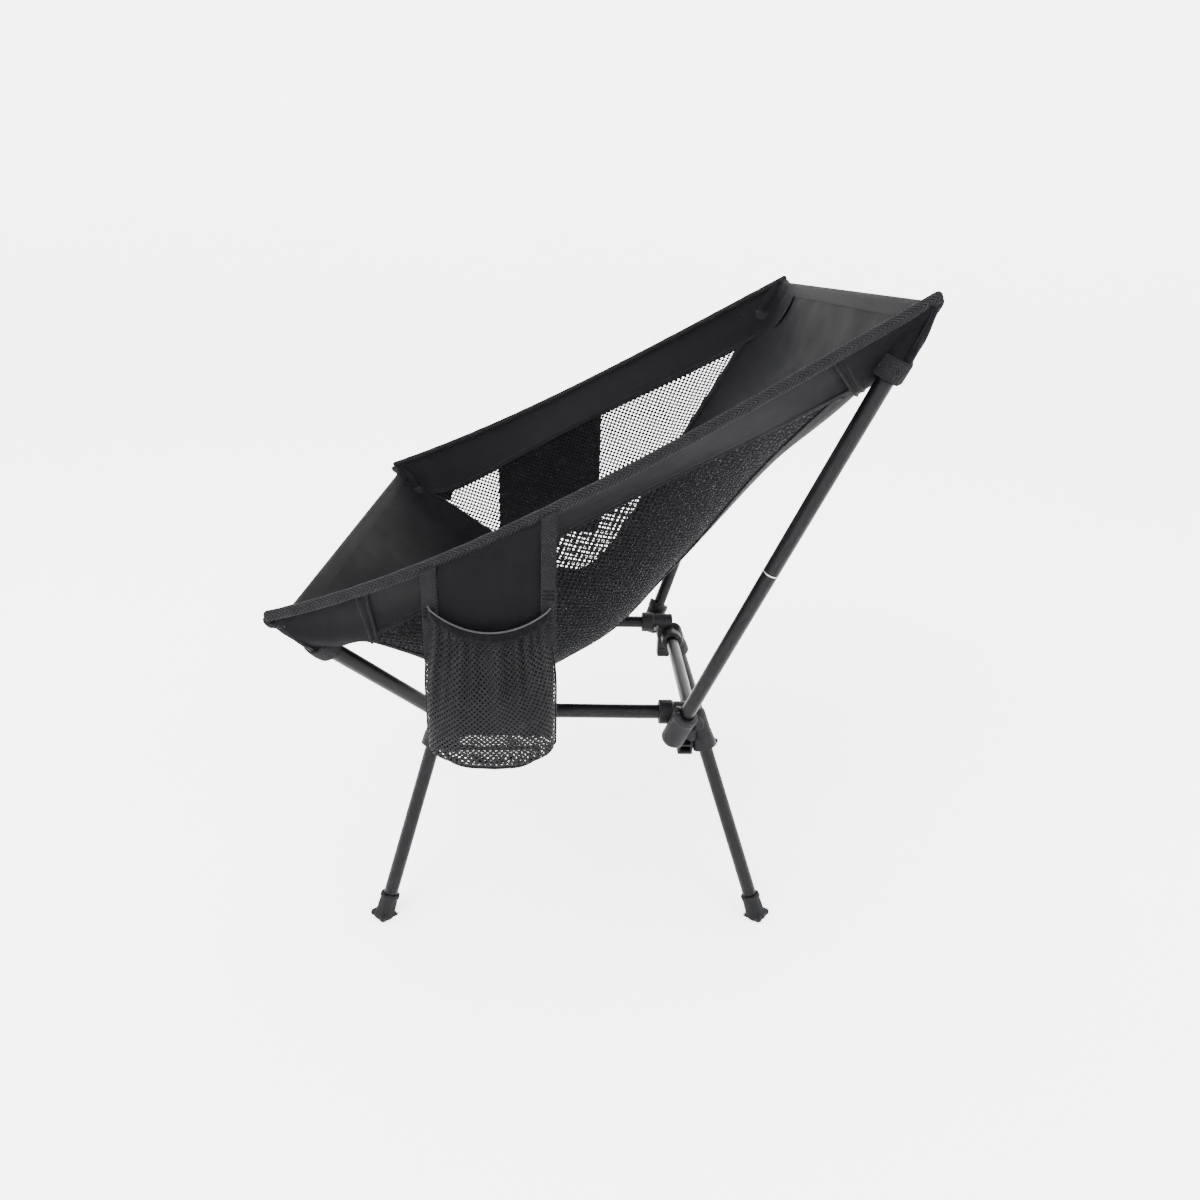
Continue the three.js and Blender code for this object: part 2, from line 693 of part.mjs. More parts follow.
chair.add(named("centre_panel", centrePanel(), OXFORD_BLACK));
chair.add(named("edge_binding", edgeBinding(), WEBBING_BLACK));
for (const [side, scale] of [["left", 1], ["right", -1]]) {
  const half = new THREE.Group();
  half.scale.x = scale;
  half.add(named(`mesh_panel_${side}`, meshPanel(), MESH_BLACK));
  half.add(named(`side_band_${side}`, sideBand(), OXFORD_BLACK));
  half.add(named(`corner_pocket_front_${side}`, fromSolid(cornerPocket(-1)), OXFORD_BLACK));
  half.add(named(`corner_pocket_rear_${side}`, fromSolid(cornerPocket(1)), OXFORD_BLACK));
  chair.add(half);
}
chair.add(drinkPocket());
chair.add(stashPocket());

// The origin lies on the ground below the middle of the chair's outline.
const outline = new THREE.Box3().setFromObject(chair, true);
const centre = outline.getCenter(new THREE.Vector3());
chair.position.set(0, -centre.y, 0);
chair.updateMatrixWorld(true);

export default chair;
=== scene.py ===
"""Looks of the ultralight backpacking chair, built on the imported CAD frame.

Shapes are worked out in millimetres in the CAD's own axes: +X is the sitter's left, the chair
faces -Y and the feet stand on z = 0. Y is counted from the middle of the side rails.
"""
import math

import bmesh
import bpy
import numpy as np
from mathutils import Matrix, Vector


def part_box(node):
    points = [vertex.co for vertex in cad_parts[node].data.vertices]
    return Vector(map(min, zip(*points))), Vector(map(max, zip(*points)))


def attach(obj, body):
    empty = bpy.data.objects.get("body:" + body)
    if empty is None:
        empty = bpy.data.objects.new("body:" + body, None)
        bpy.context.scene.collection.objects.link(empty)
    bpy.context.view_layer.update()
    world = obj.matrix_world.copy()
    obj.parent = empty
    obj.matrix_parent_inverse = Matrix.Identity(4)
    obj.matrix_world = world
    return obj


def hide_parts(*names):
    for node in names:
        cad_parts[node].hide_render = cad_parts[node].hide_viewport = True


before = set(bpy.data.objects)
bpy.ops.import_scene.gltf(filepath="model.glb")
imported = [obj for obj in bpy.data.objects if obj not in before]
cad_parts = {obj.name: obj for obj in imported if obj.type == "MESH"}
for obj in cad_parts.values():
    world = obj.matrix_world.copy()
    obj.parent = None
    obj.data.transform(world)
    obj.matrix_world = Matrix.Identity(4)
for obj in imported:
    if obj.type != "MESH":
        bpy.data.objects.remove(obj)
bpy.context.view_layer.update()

MM = 0.001
rail_low, rail_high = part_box("side_rail_left")
SHIFT = (rail_low[1] + rail_high[1]) / 2 / MM  # the rails' middle, in the row frame
ENDS = (("front", -1), ("rear", 1))
SIDES = (("left", 1), ("right", -1))

# ---------------------------------------------------------------- driving dimensions, as in the CAD
TUBE_R, TUBE_WALL = 7.25, 0.9
HUB_X, HUB_Y = 113.2, 123.0
SIDE_RAIL_Z, CROSS_RAIL_Z, CROSS_RAIL_Y = 215.0, 202.0, 128.0
COLLAR_R = 12.5
SIDE_COLLAR_REACH, CROSS_COLLAR_REACH = 31.5, 32.0
SIDE_RAIL_INSERT, CROSS_RAIL_INSERT = 22.0, 15.0
LEG_TOP = (102.0, 128.5, 215.0)
LEG_FOOT_X = 170.1
FOOT_Y = {1: 203.2, -1: 191.1}
LEG_START, LEG_MOUTH = 14.0, 45.5
FOOT_HEIGHT, FOOT_R = 27.0, 9.9
POLES = {
    1: ((139.5, 111.1, 215.1), (234.4, 254.2, 626.1)),
    -1: ((134.0, -115.6, 215.0), (253.3, -235.8, 380.8)),
}
POLE_TOP = {1: 385.0, -1: 174.0}
SOCKET_FLOOR, SOCKET_END, POLE_MOUTH = -19.0, -25.0, 15.0
POLE_JOINT = 195.0
TIP_R, TIP_LENGTH = 7.6, 13.0

SEAT_FRONT = np.array([253.3, -236.5, 379.0])
SEAT_BACK = np.array([234.4, 256.0, 626.0])
EDGE_BOW, EDGE_SAG, EDGE_SKEW = 24.0, 15.0, 0.4
SECTION_POWER = 5.2
DEPTH_STATIONS = [0, 0.15, 0.35, 0.55, 0.75, 0.9, 1]
DEPTHS = [9, 141, 162, 126, 81, 52, 4]
DEPTH_LEAN = 0.535
BAND_WIDTH = 66.5
BAND_SLOPE, BAND_EASE = 1.187, 0.653
WINDOW_STATIONS = [0.05, 0.07, 0.115, 0.16, 0.205, 0.26, 0.335, 0.415, 0.515, 0.665, 0.765, 0.867]
WINDOW_INNER = [0.86, 0.832, 0.766, 0.7, 0.621, 0.497, 0.4, 0.425, 0.49, 0.6, 0.69, 0.832]
WINDOW_SPAN = (0.0563, 0.863)
ROPE_HALF = (3.5, 4.5)  # half thickness and half height of the rolled binding

POCKET_Y = (-113.0, -13.0)
POCKET_X = 273.8
POCKET_RIM_Z, POCKET_RIM_SAG = 397.0, 17.0
POCKET_BOTTOM_Z = 266.0
STRAP_WIDTH = 12.0
STASH_Y = (-98.0, 34.0)


# ---------------------------------------------------------------- vectors and curves
def unit(a):
    a = np.asarray(a, float)
    return a / np.maximum(np.linalg.norm(a, axis=-1, keepdims=True), 1e-12)


def along(a, b, t):
    """Points t millimetres from a on the line to b; t can be an array."""
    a = np.asarray(a, float)
    return a + np.multiply.outer(np.asarray(t, float), unit(np.asarray(b, float) - a))


def cross_axes(direction, hint=(0, 0, 1)):
    """Two unit vectors across direction; the first lies as near to hint as it can."""
    d = unit(direction)
    h = np.asarray(hint, float)
    if abs(d @ unit(h)) > 0.98:
        h = np.array([1.0, 0, 0])
    first = unit(h - d * (d @ h))
    return first, np.cross(d, first)


def smoothstep(x, low=0.0, high=1.0):
    t = np.clip((np.asarray(x, float) - low) / (high - low), 0, 1)
    return t * t * (3 - 2 * t)


def hermite(stations, values, v):
    st, va = np.array(stations, float), np.array(values, float)
    last = len(st) - 1
    lo, hi = np.maximum(np.arange(last + 1) - 1, 0), np.minimum(np.arange(last + 1) + 1, last)
    slope = (va[hi] - va[lo]) / (st[hi] - st[lo])
    v = np.asarray(v, float)
    i = np.clip(np.searchsorted(st, v, side="right") - 1, 0, last - 1)
    span = st[i + 1] - st[i]
    t = np.clip((v - st[i]) / span, 0, 1)
    return (
        (2 * t**3 - 3 * t**2 + 1) * va[i]
        + (t**3 - 2 * t**2 + t) * span * slope[i]
        + (3 * t**2 - 2 * t**3) * va[i + 1]
        + (t**3 - t**2) * span * slope[i + 1]
    )


def fillet(profile, radius, steps=4):
    """A polyline with its inner corners rounded."""
    pts = [np.array(p, float) for p in profile]
    out = [pts[0]]
    for before, here, after in zip(pts, pts[1:], pts[2:]):
        a, b = before - here, after - here
        la, lb = np.linalg.norm(a), np.linalg.norm(b)
        cut = min(radius, 0.45 * la, 0.45 * lb)
        start, end = here + a / la * cut, here + b / lb * cut
        for k in range(steps + 1):
            t = k / steps
            out.append((1 - t) ** 2 * start + 2 * t * (1 - t) * here + t**2 * end)
    out.append(pts[-1])
    return out


# ---------------------------------------------------------------- mesh building
class Shape:
    """Collects grids and solids of revolution into one mesh with a texture map in metres."""

    def __init__(self):
        self.verts, self.faces, self.uvs, self.count = [], [], [], 0

    def add(self, points, faces, uvs):
        self.verts.append(np.asarray(points, float).reshape(-1, 3))
        self.faces += [[i + self.count for i in f] for f in faces]
        self.uvs += uvs
        self.count += len(self.verts[-1])

    def grid(self, points, uv=None, ring=False, loop=False, cap=(False, False), flip=False):
        """points is (rows, columns, 3). ring joins the last column to the first, loop the rows."""
        points = np.asarray(points, float)
        rows, cols = points.shape[:2]
        if uv is None:
            uv = measured_uv(points, ring, loop)
        uv = np.asarray(uv, float) * MM
        faces, uvs = [], []
        for j in range(rows if loop else rows - 1):
            for i in range(cols if ring else cols - 1):
                j2, i2 = (j + 1) % rows, (i + 1) % cols
                face = [j * cols + i, j * cols + i2, j2 * cols + i2, j2 * cols + i]
                near, far = min(j + 1, uv.shape[0] - 1), min(i + 1, uv.shape[1] - 1)
                corner = [uv[j, i], uv[j, far], uv[near, far], uv[near, i]]
                if flip:
                    face, corner = face[::-1], corner[::-1]
                faces.append(face)
                uvs += corner
        for at_end in (0, 1):
            if cap[at_end]:
                row = (rows - 1) * cols if at_end else 0
                face = [row + i for i in range(cols)]
                face = face if at_end != flip else face[::-1]
                centre = points[rows - 1 if at_end else 0].mean(axis=0)
                spokes = points.reshape(-1, 3)[face] - centre
                first, second = spokes[0], np.cross(unit(spokes[0]), unit(spokes[len(face) // 4]))
                e1 = unit(first)
                e2 = unit(np.cross(second, e1))
                faces.append(face)
                uvs += [np.array([p @ e1, p @ e2]) * MM for p in spokes]
        self.add(points, faces, uvs)
        return self

    def lathe(self, profile, a, b, sides=48, closed=False, cap=(False, False)):
        """Turns (radius, distance) pairs about the line from a towards b."""
        a = np.asarray(a, float)
        d = unit(np.asarray(b, float) - a)
        e1, e2 = cross_axes(d)
        angle = np.arange(sides) * 2 * math.pi / sides
        spoke = np.outer(np.cos(angle), e1) + np.outer(np.sin(angle), e2)
        pts = np.array([a + d * t + spoke * max(r, 0.01) for r, t in profile])
        self.grid(pts, ring=True, loop=closed, cap=cap)
        return self

    def block(self, size, centre, radius):
        """A block with rounded edges."""
        bm = bmesh.new()
        bmesh.ops.create_cube(bm, size=1)
        bmesh.ops.scale(bm, vec=size, verts=bm.verts)
        bmesh.ops.bevel(
            bm, geom=bm.edges[:], offset=radius, segments=3, affect="EDGES", profile=0.6)
        bm.verts.ensure_lookup_table()
        pts = np.array([v.co for v in bm.verts]) + np.asarray(centre, float)
        faces = [[v.index for v in f.verts] for f in bm.faces]
        uvs = [pts[i][:2] * MM for f in faces for i in f]
        bm.free()
        self.add(pts, faces, uvs)
        return self

    def make(self, name, material, body, mirror=False, slot=None, nodes=(), crease=38):
        verts = np.concatenate(self.verts)
        faces, uvs = self.faces, self.uvs
        if mirror:
            verts = verts * (-1, 1, 1)
            sizes = [len(f) for f in faces]
            starts = np.concatenate([[0], np.cumsum(sizes)[:-1]])
            uvs = [uvs[s + n - 1 - k] for s, n in zip(starts, sizes) for k in range(n)]
            faces = [f[::-1] for f in faces]
        mesh = bpy.data.meshes.new(name)
        mesh.from_pydata(((verts + (0, SHIFT, 0)) * MM).tolist(), [], faces)
        layer = mesh.uv_layers.new(name="cloth")
        layer.data.foreach_set("uv", np.array(uvs, np.float32).ravel())
        mesh.materials.append(material)
        mesh.shade_smooth()
        mesh.set_sharp_from_angle(angle=math.radians(crease))
        mesh.update()
        obj = bpy.data.objects.new(name, mesh)
        bpy.context.scene.collection.objects.link(obj)
        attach(obj, body)
        if nodes:
            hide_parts(*nodes)
        return obj


def measured_uv(points, ring=False, loop=False):
    """A texture map in millimetres from the lengths along the grid's rows and columns."""
    if ring:
        points = np.concatenate([points, points[:, :1]], axis=1)
    if loop:
        points = np.concatenate([points, points[:1]], axis=0)
    across = np.linalg.norm(np.diff(points, axis=1), axis=2)
    across = np.concatenate([np.zeros((len(points), 1)), np.cumsum(across, axis=1)], axis=1)
    middle = points.shape[1] // 2
    down = np.linalg.norm(np.diff(points[:, middle], axis=0), axis=1)
    down = np.concatenate([[0], np.cumsum(down)])
    return np.stack([across, np.repeat(down[:, None], points.shape[1], axis=1)], axis=2)


def sweep(path, section, hint=(0, 0, 1), scale=None):
    """Carries (across, up) section points along a path; gives (path, section, 3)."""
    path = np.asarray(path, float)
    forward = unit(np.gradient(path, axis=0))
    hint = np.broadcast_to(np.asarray(hint, float), path.shape)
    side = unit(np.cross(hint, forward))
    up = np.cross(forward, side)
    scale = np.ones(len(path)) if scale is None else np.asarray(scale, float)
    sec = np.asarray(section, float)
    return (
        path[:, None]
        + side[:, None] * sec[None, :, :1] * scale[:, None, None]
        + up[:, None] * sec[None, :, 1:] * scale[:, None, None]
    )


def round_section(half_across, half_up, facets=16):
    angle = np.arange(facets) * 2 * math.pi / facets
    return np.stack([half_across * np.cos(angle), half_up * np.sin(angle)], axis=1)


# ---------------------------------------------------------------- materials
class Look:
    """A short way to write a node material."""

    def __init__(self, name):
        self.material = bpy.data.materials.new(name)
        self.material.use_nodes = True
        self.tree = self.material.node_tree
        self.shader = self.tree.nodes["Principled BSDF"]
        self.coord = self.tree.nodes.new("ShaderNodeTexCoord")

    def put(self, socket, value):
        if isinstance(value, bpy.types.NodeSocket):
            self.tree.links.new(value, socket)
        elif value is not None:
            socket.default_value = value

    def node(self, kind, out=0, inputs=(), **settings):
        n = self.tree.nodes.new(kind)
        for key, value in settings.items():
            setattr(n, key, value)
        for key, value in dict(inputs).items():
            self.put(n.inputs[key], value)
        return n.outputs[out]

    def math(self, operation, a, b=None, c=None):
        given = {k: v for k, v in enumerate((a, b, c)) if v is not None}
        return self.node("ShaderNodeMath", inputs=given, operation=operation)

    def uv(self):
        s = self.node("ShaderNodeSeparateXYZ", inputs={0: self.coord.outputs["UV"]})
        return s, s.node.outputs[1]

    def noise(self, scale, detail=3.0, roughness=0.55, space="Object"):
        return self.node("ShaderNodeTexNoise", inputs={
            "Vector": self.coord.outputs[space], "Scale": scale, "Detail": detail,
            "Roughness": roughness})

    def ramp(self, value, low, high, out_low=0.0, out_high=1.0):
        return self.node("ShaderNodeMapRange", inputs={
            "Value": value, "From Min": low, "From Max": high,
            "To Min": out_low, "To Max": out_high})

    def mix(self, factor, a, b):
        n = self.tree.nodes.new("ShaderNodeMix")
        n.data_type = "RGBA"
        for socket, value in ((n.inputs[0], factor), (n.inputs[6], a), (n.inputs[7], b)):
            self.put(socket, value)
        return n.outputs[2]

    def bump(self, height, distance, strength=1.0, under=None):
        return self.node("ShaderNodeBump", inputs={
            "Height": height, "Distance": distance, "Strength": strength, "Normal": under})

    def set(self, **sockets):
        names = {"color": "Base Color", "rough": "Roughness", "metal": "Metallic",
                 "normal": "Normal", "alpha": "Alpha", "sheen": "Sheen Weight",
                 "sheen_rough": "Sheen Roughness", "specular": "Specular IOR Level",
                 "sheen_tint": "Sheen Tint"}
        for key, value in sockets.items():
            self.put(self.shader.inputs[names[key]], value)
        return self.material

    def wave(self, value, pitch, phase=0.0):
        """0 to 1 over each pitch, as a smooth ridge."""
        turn = self.math("MULTIPLY_ADD", value, 2 * math.pi / pitch, phase)
        return self.math("MULTIPLY_ADD", self.math("COSINE", turn), 0.5, 0.5)


def grey(level, warm=0.0):
    return (level * (1 + warm), level, level * (1 - 0.4 * warm) + 0.0006, 1)


def oxford_look(name, level=0.0016, weave=0.0007, rough=0.62):
    """Coated oxford cloth: a fine square weave, slightly uneven, with a faint sheen."""
    k = Look(name)
    u, v = k.uv()
    warp, weft = k.wave(u, weave), k.wave(v, weave)
    threads = k.math("MAXIMUM", k.math("MULTIPLY", warp, k.wave(v, 2 * weave)),
                     k.math("MULTIPLY", weft, k.wave(u, 2 * weave)))
    cloud = k.noise(22, 4)
    fine = k.noise(420, 2)
    tone = k.math("ADD", k.ramp(cloud, 0.3, 0.7, 0.0, 0.6), k.ramp(fine, 0.3, 0.7, 0.0, 0.4))
    color = k.mix(tone, grey(level * 0.82), grey(level * 1.25))
    bump = k.bump(threads, 0.00007, 0.35, under=k.bump(cloud, 0.0012, 0.22))
    return k.set(color=color, rough=k.ramp(cloud, 0.3, 0.7, rough - 0.05, rough + 0.06),
                 normal=bump, sheen=0.01, sheen_rough=0.4, specular=0.03,
                 sheen_tint=grey(0.55))


def mesh_look(name, pitch=(0.0046, 0.0050), hole=(0.30, 0.27), level=0.0025, soft=0.05):
    """Warp-knit mesh: staggered round holes, with rounded threads between them."""
    k = Look(name)
    u, v = k.uv()

    def cell(shift):
        parts = []
        for value, size, radius in ((u, pitch[0], hole[0]), (v, pitch[1], hole[1])):
            turned = k.math("ADD", k.math("DIVIDE", value, size), shift + 100)
            centred = k.math("SUBTRACT", k.math("FRACT", turned), 0.5)
            parts.append(k.math("POWER", k.math("ABSOLUTE", k.math("DIVIDE", centred, radius)), 2))
        return k.math("ADD", parts[0], parts[1])

    near = k.math("SQRT", k.math("MINIMUM", cell(0.0), cell(0.5)))
    alpha = k.ramp(near, 1 - soft, 1 + soft)
    ridge = k.ramp(near, 1.0, 1.7)
    cloud = k.noise(35, 3)
    fibre = k.noise(900, 2)
    # Painted shade: the threads are painted darker towards each hole's edge, where the rounded yarn turns
    # away from the light; a random cloud varies the tone.
    color = k.mix(k.math("MULTIPLY", ridge, k.ramp(cloud, 0.3, 0.7, 0.6, 1.0)),
                  grey(level * 0.45), grey(level * 1.5))
    normal = k.bump(ridge, 0.0006, 0.8, under=k.bump(fibre, 0.0001, 0.4))
    return k.set(color=color, rough=0.68, normal=normal, alpha=alpha, sheen=0.01,
                 sheen_rough=0.45, specular=0.04, sheen_tint=grey(0.5))


def twill_look(name, pitch=0.0026, level=0.0028, chevron=0.0, slope=1.0):
    """Ribbed tape: raised diagonal ribs, turned into a herringbone where chevron is set."""
    k = Look(name)
    u, v = k.uv()
    if chevron:
        column = k.math("FRACT", k.math("DIVIDE", u, chevron))
        folded = k.math("ABSOLUTE", k.math("SUBTRACT", column, 0.5))
        across = k.math("MULTIPLY", folded, chevron * slope)
    else:
        across = k.math("MULTIPLY", u, slope)
    rib = k.wave(k.math("ADD", v, across), pitch)
    thread = k.wave(k.math("SUBTRACT", u, v), pitch * 0.31)
    height = k.math("MULTIPLY_ADD", thread, 0.18, rib)
    cloud = k.noise(60, 3)
    # Painted light and shade: the colour follows the ribs, painted lighter on their crests and darker in
    # the grooves between them; a random cloud varies the tone.
    tone = k.math("MULTIPLY", k.ramp(rib, 0.1, 0.9), k.ramp(cloud, 0.3, 0.7, 0.65, 1.0))
    color = k.mix(tone, grey(level * 0.3), grey(level * 3.4))
    return k.set(color=color, rough=0.7, normal=k.bump(height, 0.0005, 0.75), sheen=0.01,
                 sheen_rough=0.5, specular=0.05, sheen_tint=grey(0.5))


def tube_look(name):
    """Black anodised aluminium: drawn along its length, with a satin shine."""
    k = Look(name)
    u, v = k.uv()
    streak = k.node("ShaderNodeTexNoise", inputs={
        "Vector": k.node("ShaderNodeCombineXYZ", inputs={
            0: k.math("MULTIPLY", u, 2600.0), 1: k.math("MULTIPLY", v, 16.0)}),
        "Scale": 1.0, "Detail": 3.0})
    cloud = k.noise(28, 4)
    scuff = k.ramp(k.noise(170, 6, 0.7), 0.66, 0.78)
    color = k.mix(k.math("MULTIPLY", scuff, 0.35), grey(0.002), grey(0.012))
    rough = k.math("ADD", k.ramp(streak, 0.2, 0.8, 0.24, 0.34), k.ramp(cloud, 0.3, 0.7, 0, 0.07))
    return k.set(color=color, rough=rough, specular=0.10,
                 normal=k.bump(streak, 0.00002, 0.25))


def moulded_look(name, level, rough, grain=1500, depth=0.00006):
    """Moulded plastic or rubber: a fine spark-eroded grain, a little paler on sharp convex edges."""
    k = Look(name)
    fine, cloud = k.noise(grain, 2), k.noise(40, 4)
    # The colour is paler on sharp convex edges, found from the mesh's pointiness.
    edge = k.node("ShaderNodeNewGeometry", out=7)
    pale_convex_edge = k.ramp(edge, 0.52, 0.62)
    tone = k.math("MAXIMUM", k.ramp(cloud, 0.3, 0.7, 0.0, 0.4), k.math("MULTIPLY", pale_convex_edge, 0.8))
    color = k.mix(tone, grey(level), grey(level * 1.9))
    return k.set(color=color, rough=k.ramp(cloud, 0.3, 0.7, rough - 0.05, rough + 0.06),
                 specular=0.09, normal=k.bump(fine, depth, 0.5, under=k.bump(cloud, 0.0003, 0.2)))


def metal_look(name, level, rough, scratch=0.3):
    k = Look(name)
    fine, cloud = k.noise(600, 4), k.noise(50, 3)
    color = k.mix(k.ramp(cloud, 0.3, 0.7), grey(level * 0.85), grey(level))
    return k.set(color=color, metal=0.9, rough=k.ramp(fine, 0.3, 0.7, rough, rough + 0.12),
                 normal=k.bump(fine, 0.00003, scratch))


def cord_look(name, level=0.02, pitch=0.0016):
    """Braided cord: two crossing sets of diagonal strands."""
    k = Look(name)
    where = k.node("ShaderNodeSeparateXYZ", inputs={0: k.coord.outputs["Object"]})
    x, y, z = (where.node.outputs[i] for i in range(3))
    one = k.wave(k.math("ADD", z, k.math("ADD", x, y)), pitch)
    two = k.wave(k.math("SUBTRACT", z, k.math("ADD", x, y)), pitch)
    weave = k.math("MAXIMUM", one, two)
    # Painted light and shade: the strands are painted lighter on their crests and darker in the grooves
    # where they cross.
    return k.set(color=k.mix(weave, grey(level * 0.5), grey(level * 1.8)), rough=0.75,
                 normal=k.bump(weave, 0.0003, 0.6), sheen=0.3)


def stitch_look(name, level=0.0017, rows=(0.25, 0.75), width=0.007):
    """A sewn seam strip of oxford cloth with dashed rows of stitching along it."""
    k = Look(name)
    u, v = k.uv()
    dash = k.ramp(k.wave(v, 0.0034), 0.28, 0.42)
    line = None
    for row in rows:
        away = k.math("ABSOLUTE", k.math("SUBTRACT", k.math("DIVIDE", u, width), row))
        near = k.ramp(away, 0.055, 0.085, 1.0, 0.0)
        line = near if line is None else k.math("MAXIMUM", line, near)
    stitch = k.math("MULTIPLY", line, dash)
    cloud, fine = k.noise(30, 4), k.noise(500, 2)
    cloth = k.mix(cloud, grey(level * 0.85), grey(level * 1.2))
    color = k.mix(stitch, cloth, grey(level * 2.6))
    height = k.math("SUBTRACT", stitch, k.math("MULTIPLY", line, 0.7))
    normal = k.bump(height, 0.0004, 0.6, under=k.bump(fine, 0.00012, 0.4))
    return k.set(color=color, rough=0.64, normal=normal, sheen=0.01, sheen_rough=0.4,
                 specular=0.04, sheen_tint=grey(0.5))


TUBE = tube_look("black_anodised_tube")
BARE = metal_look("bare_aluminium", 0.62, 0.28)
RIVET = metal_look("black_oxide_steel", 0.05, 0.3)
HUB = moulded_look("glass_filled_nylon", 0.0035, 0.5)
TIP = moulded_look("tip_plastic", 0.003, 0.5)
RUBBER = moulded_look("foot_rubber", 0.0035, 0.66, grain=900, depth=0.0001)
CORD = cord_look("shock_cord")
OXFORD = oxford_look("oxford_black")
PANEL = oxford_look("oxford_black_pocket", level=0.0024, weave=0.0010)
MESH = mesh_look("knit_mesh_black", pitch=(0.0060, 0.0062), hole=(0.235, 0.215))
BAG_MESH = mesh_look("knit_mesh_bag", pitch=(0.0045, 0.0050), hole=(0.175, 0.155), level=0.0065)
ROPE = twill_look("binding_twill", pitch=0.0034, level=0.0036, chevron=0.0085, slope=1.5)
WEBBING = twill_look("webbing_herringbone", pitch=0.0028, level=0.0034, chevron=0.006, slope=1.6)
SEAM = stitch_look("sewn_seam")
HEM = stitch_look("sewn_hem", rows=(0.40, 0.60), width=0.033)
PIPING = moulded_look("reflective_piping", 0.022, 0.5, grain=2500, depth=0.00003)
ELASTIC = twill_look("elastic_band", pitch=0.0012, level=0.0009, slope=0.0)


# ---------------------------------------------------------------- axes of the frame
def leg_axis(end):
    return (np.array([LEG_TOP[0], LEG_TOP[1] * end, LEG_TOP[2]]),
            np.array([LEG_FOOT_X, FOOT_Y[end] * end, 0.0]))


def pole_at(end, t):
    return along(*POLES[end], t)


# ---------------------------------------------------------------- frame pieces
def tube(name, a, b, body, mirror, nodes, ends=(0.35, 0.35)):
    """A drawn tube, hollow, with its cut ends lightly chamfered."""
    length = float(np.linalg.norm(np.subtract(b, a)))
    inner = TUBE_R - TUBE_WALL
    rings = max(2, int(length / 60))
    outside = [(TUBE_R, ends[0] + (length - sum(ends)) * k / rings) for k in range(rings + 1)]
    profile = [(inner, length), (inner, 0), (TUBE_R - ends[0], 0), *outside,
               (TUBE_R - ends[1], length)]
    shape = Shape().lathe(profile, a, b, closed=True)
    return shape.make(name, TUBE, body, mirror, "tube_black", nodes)


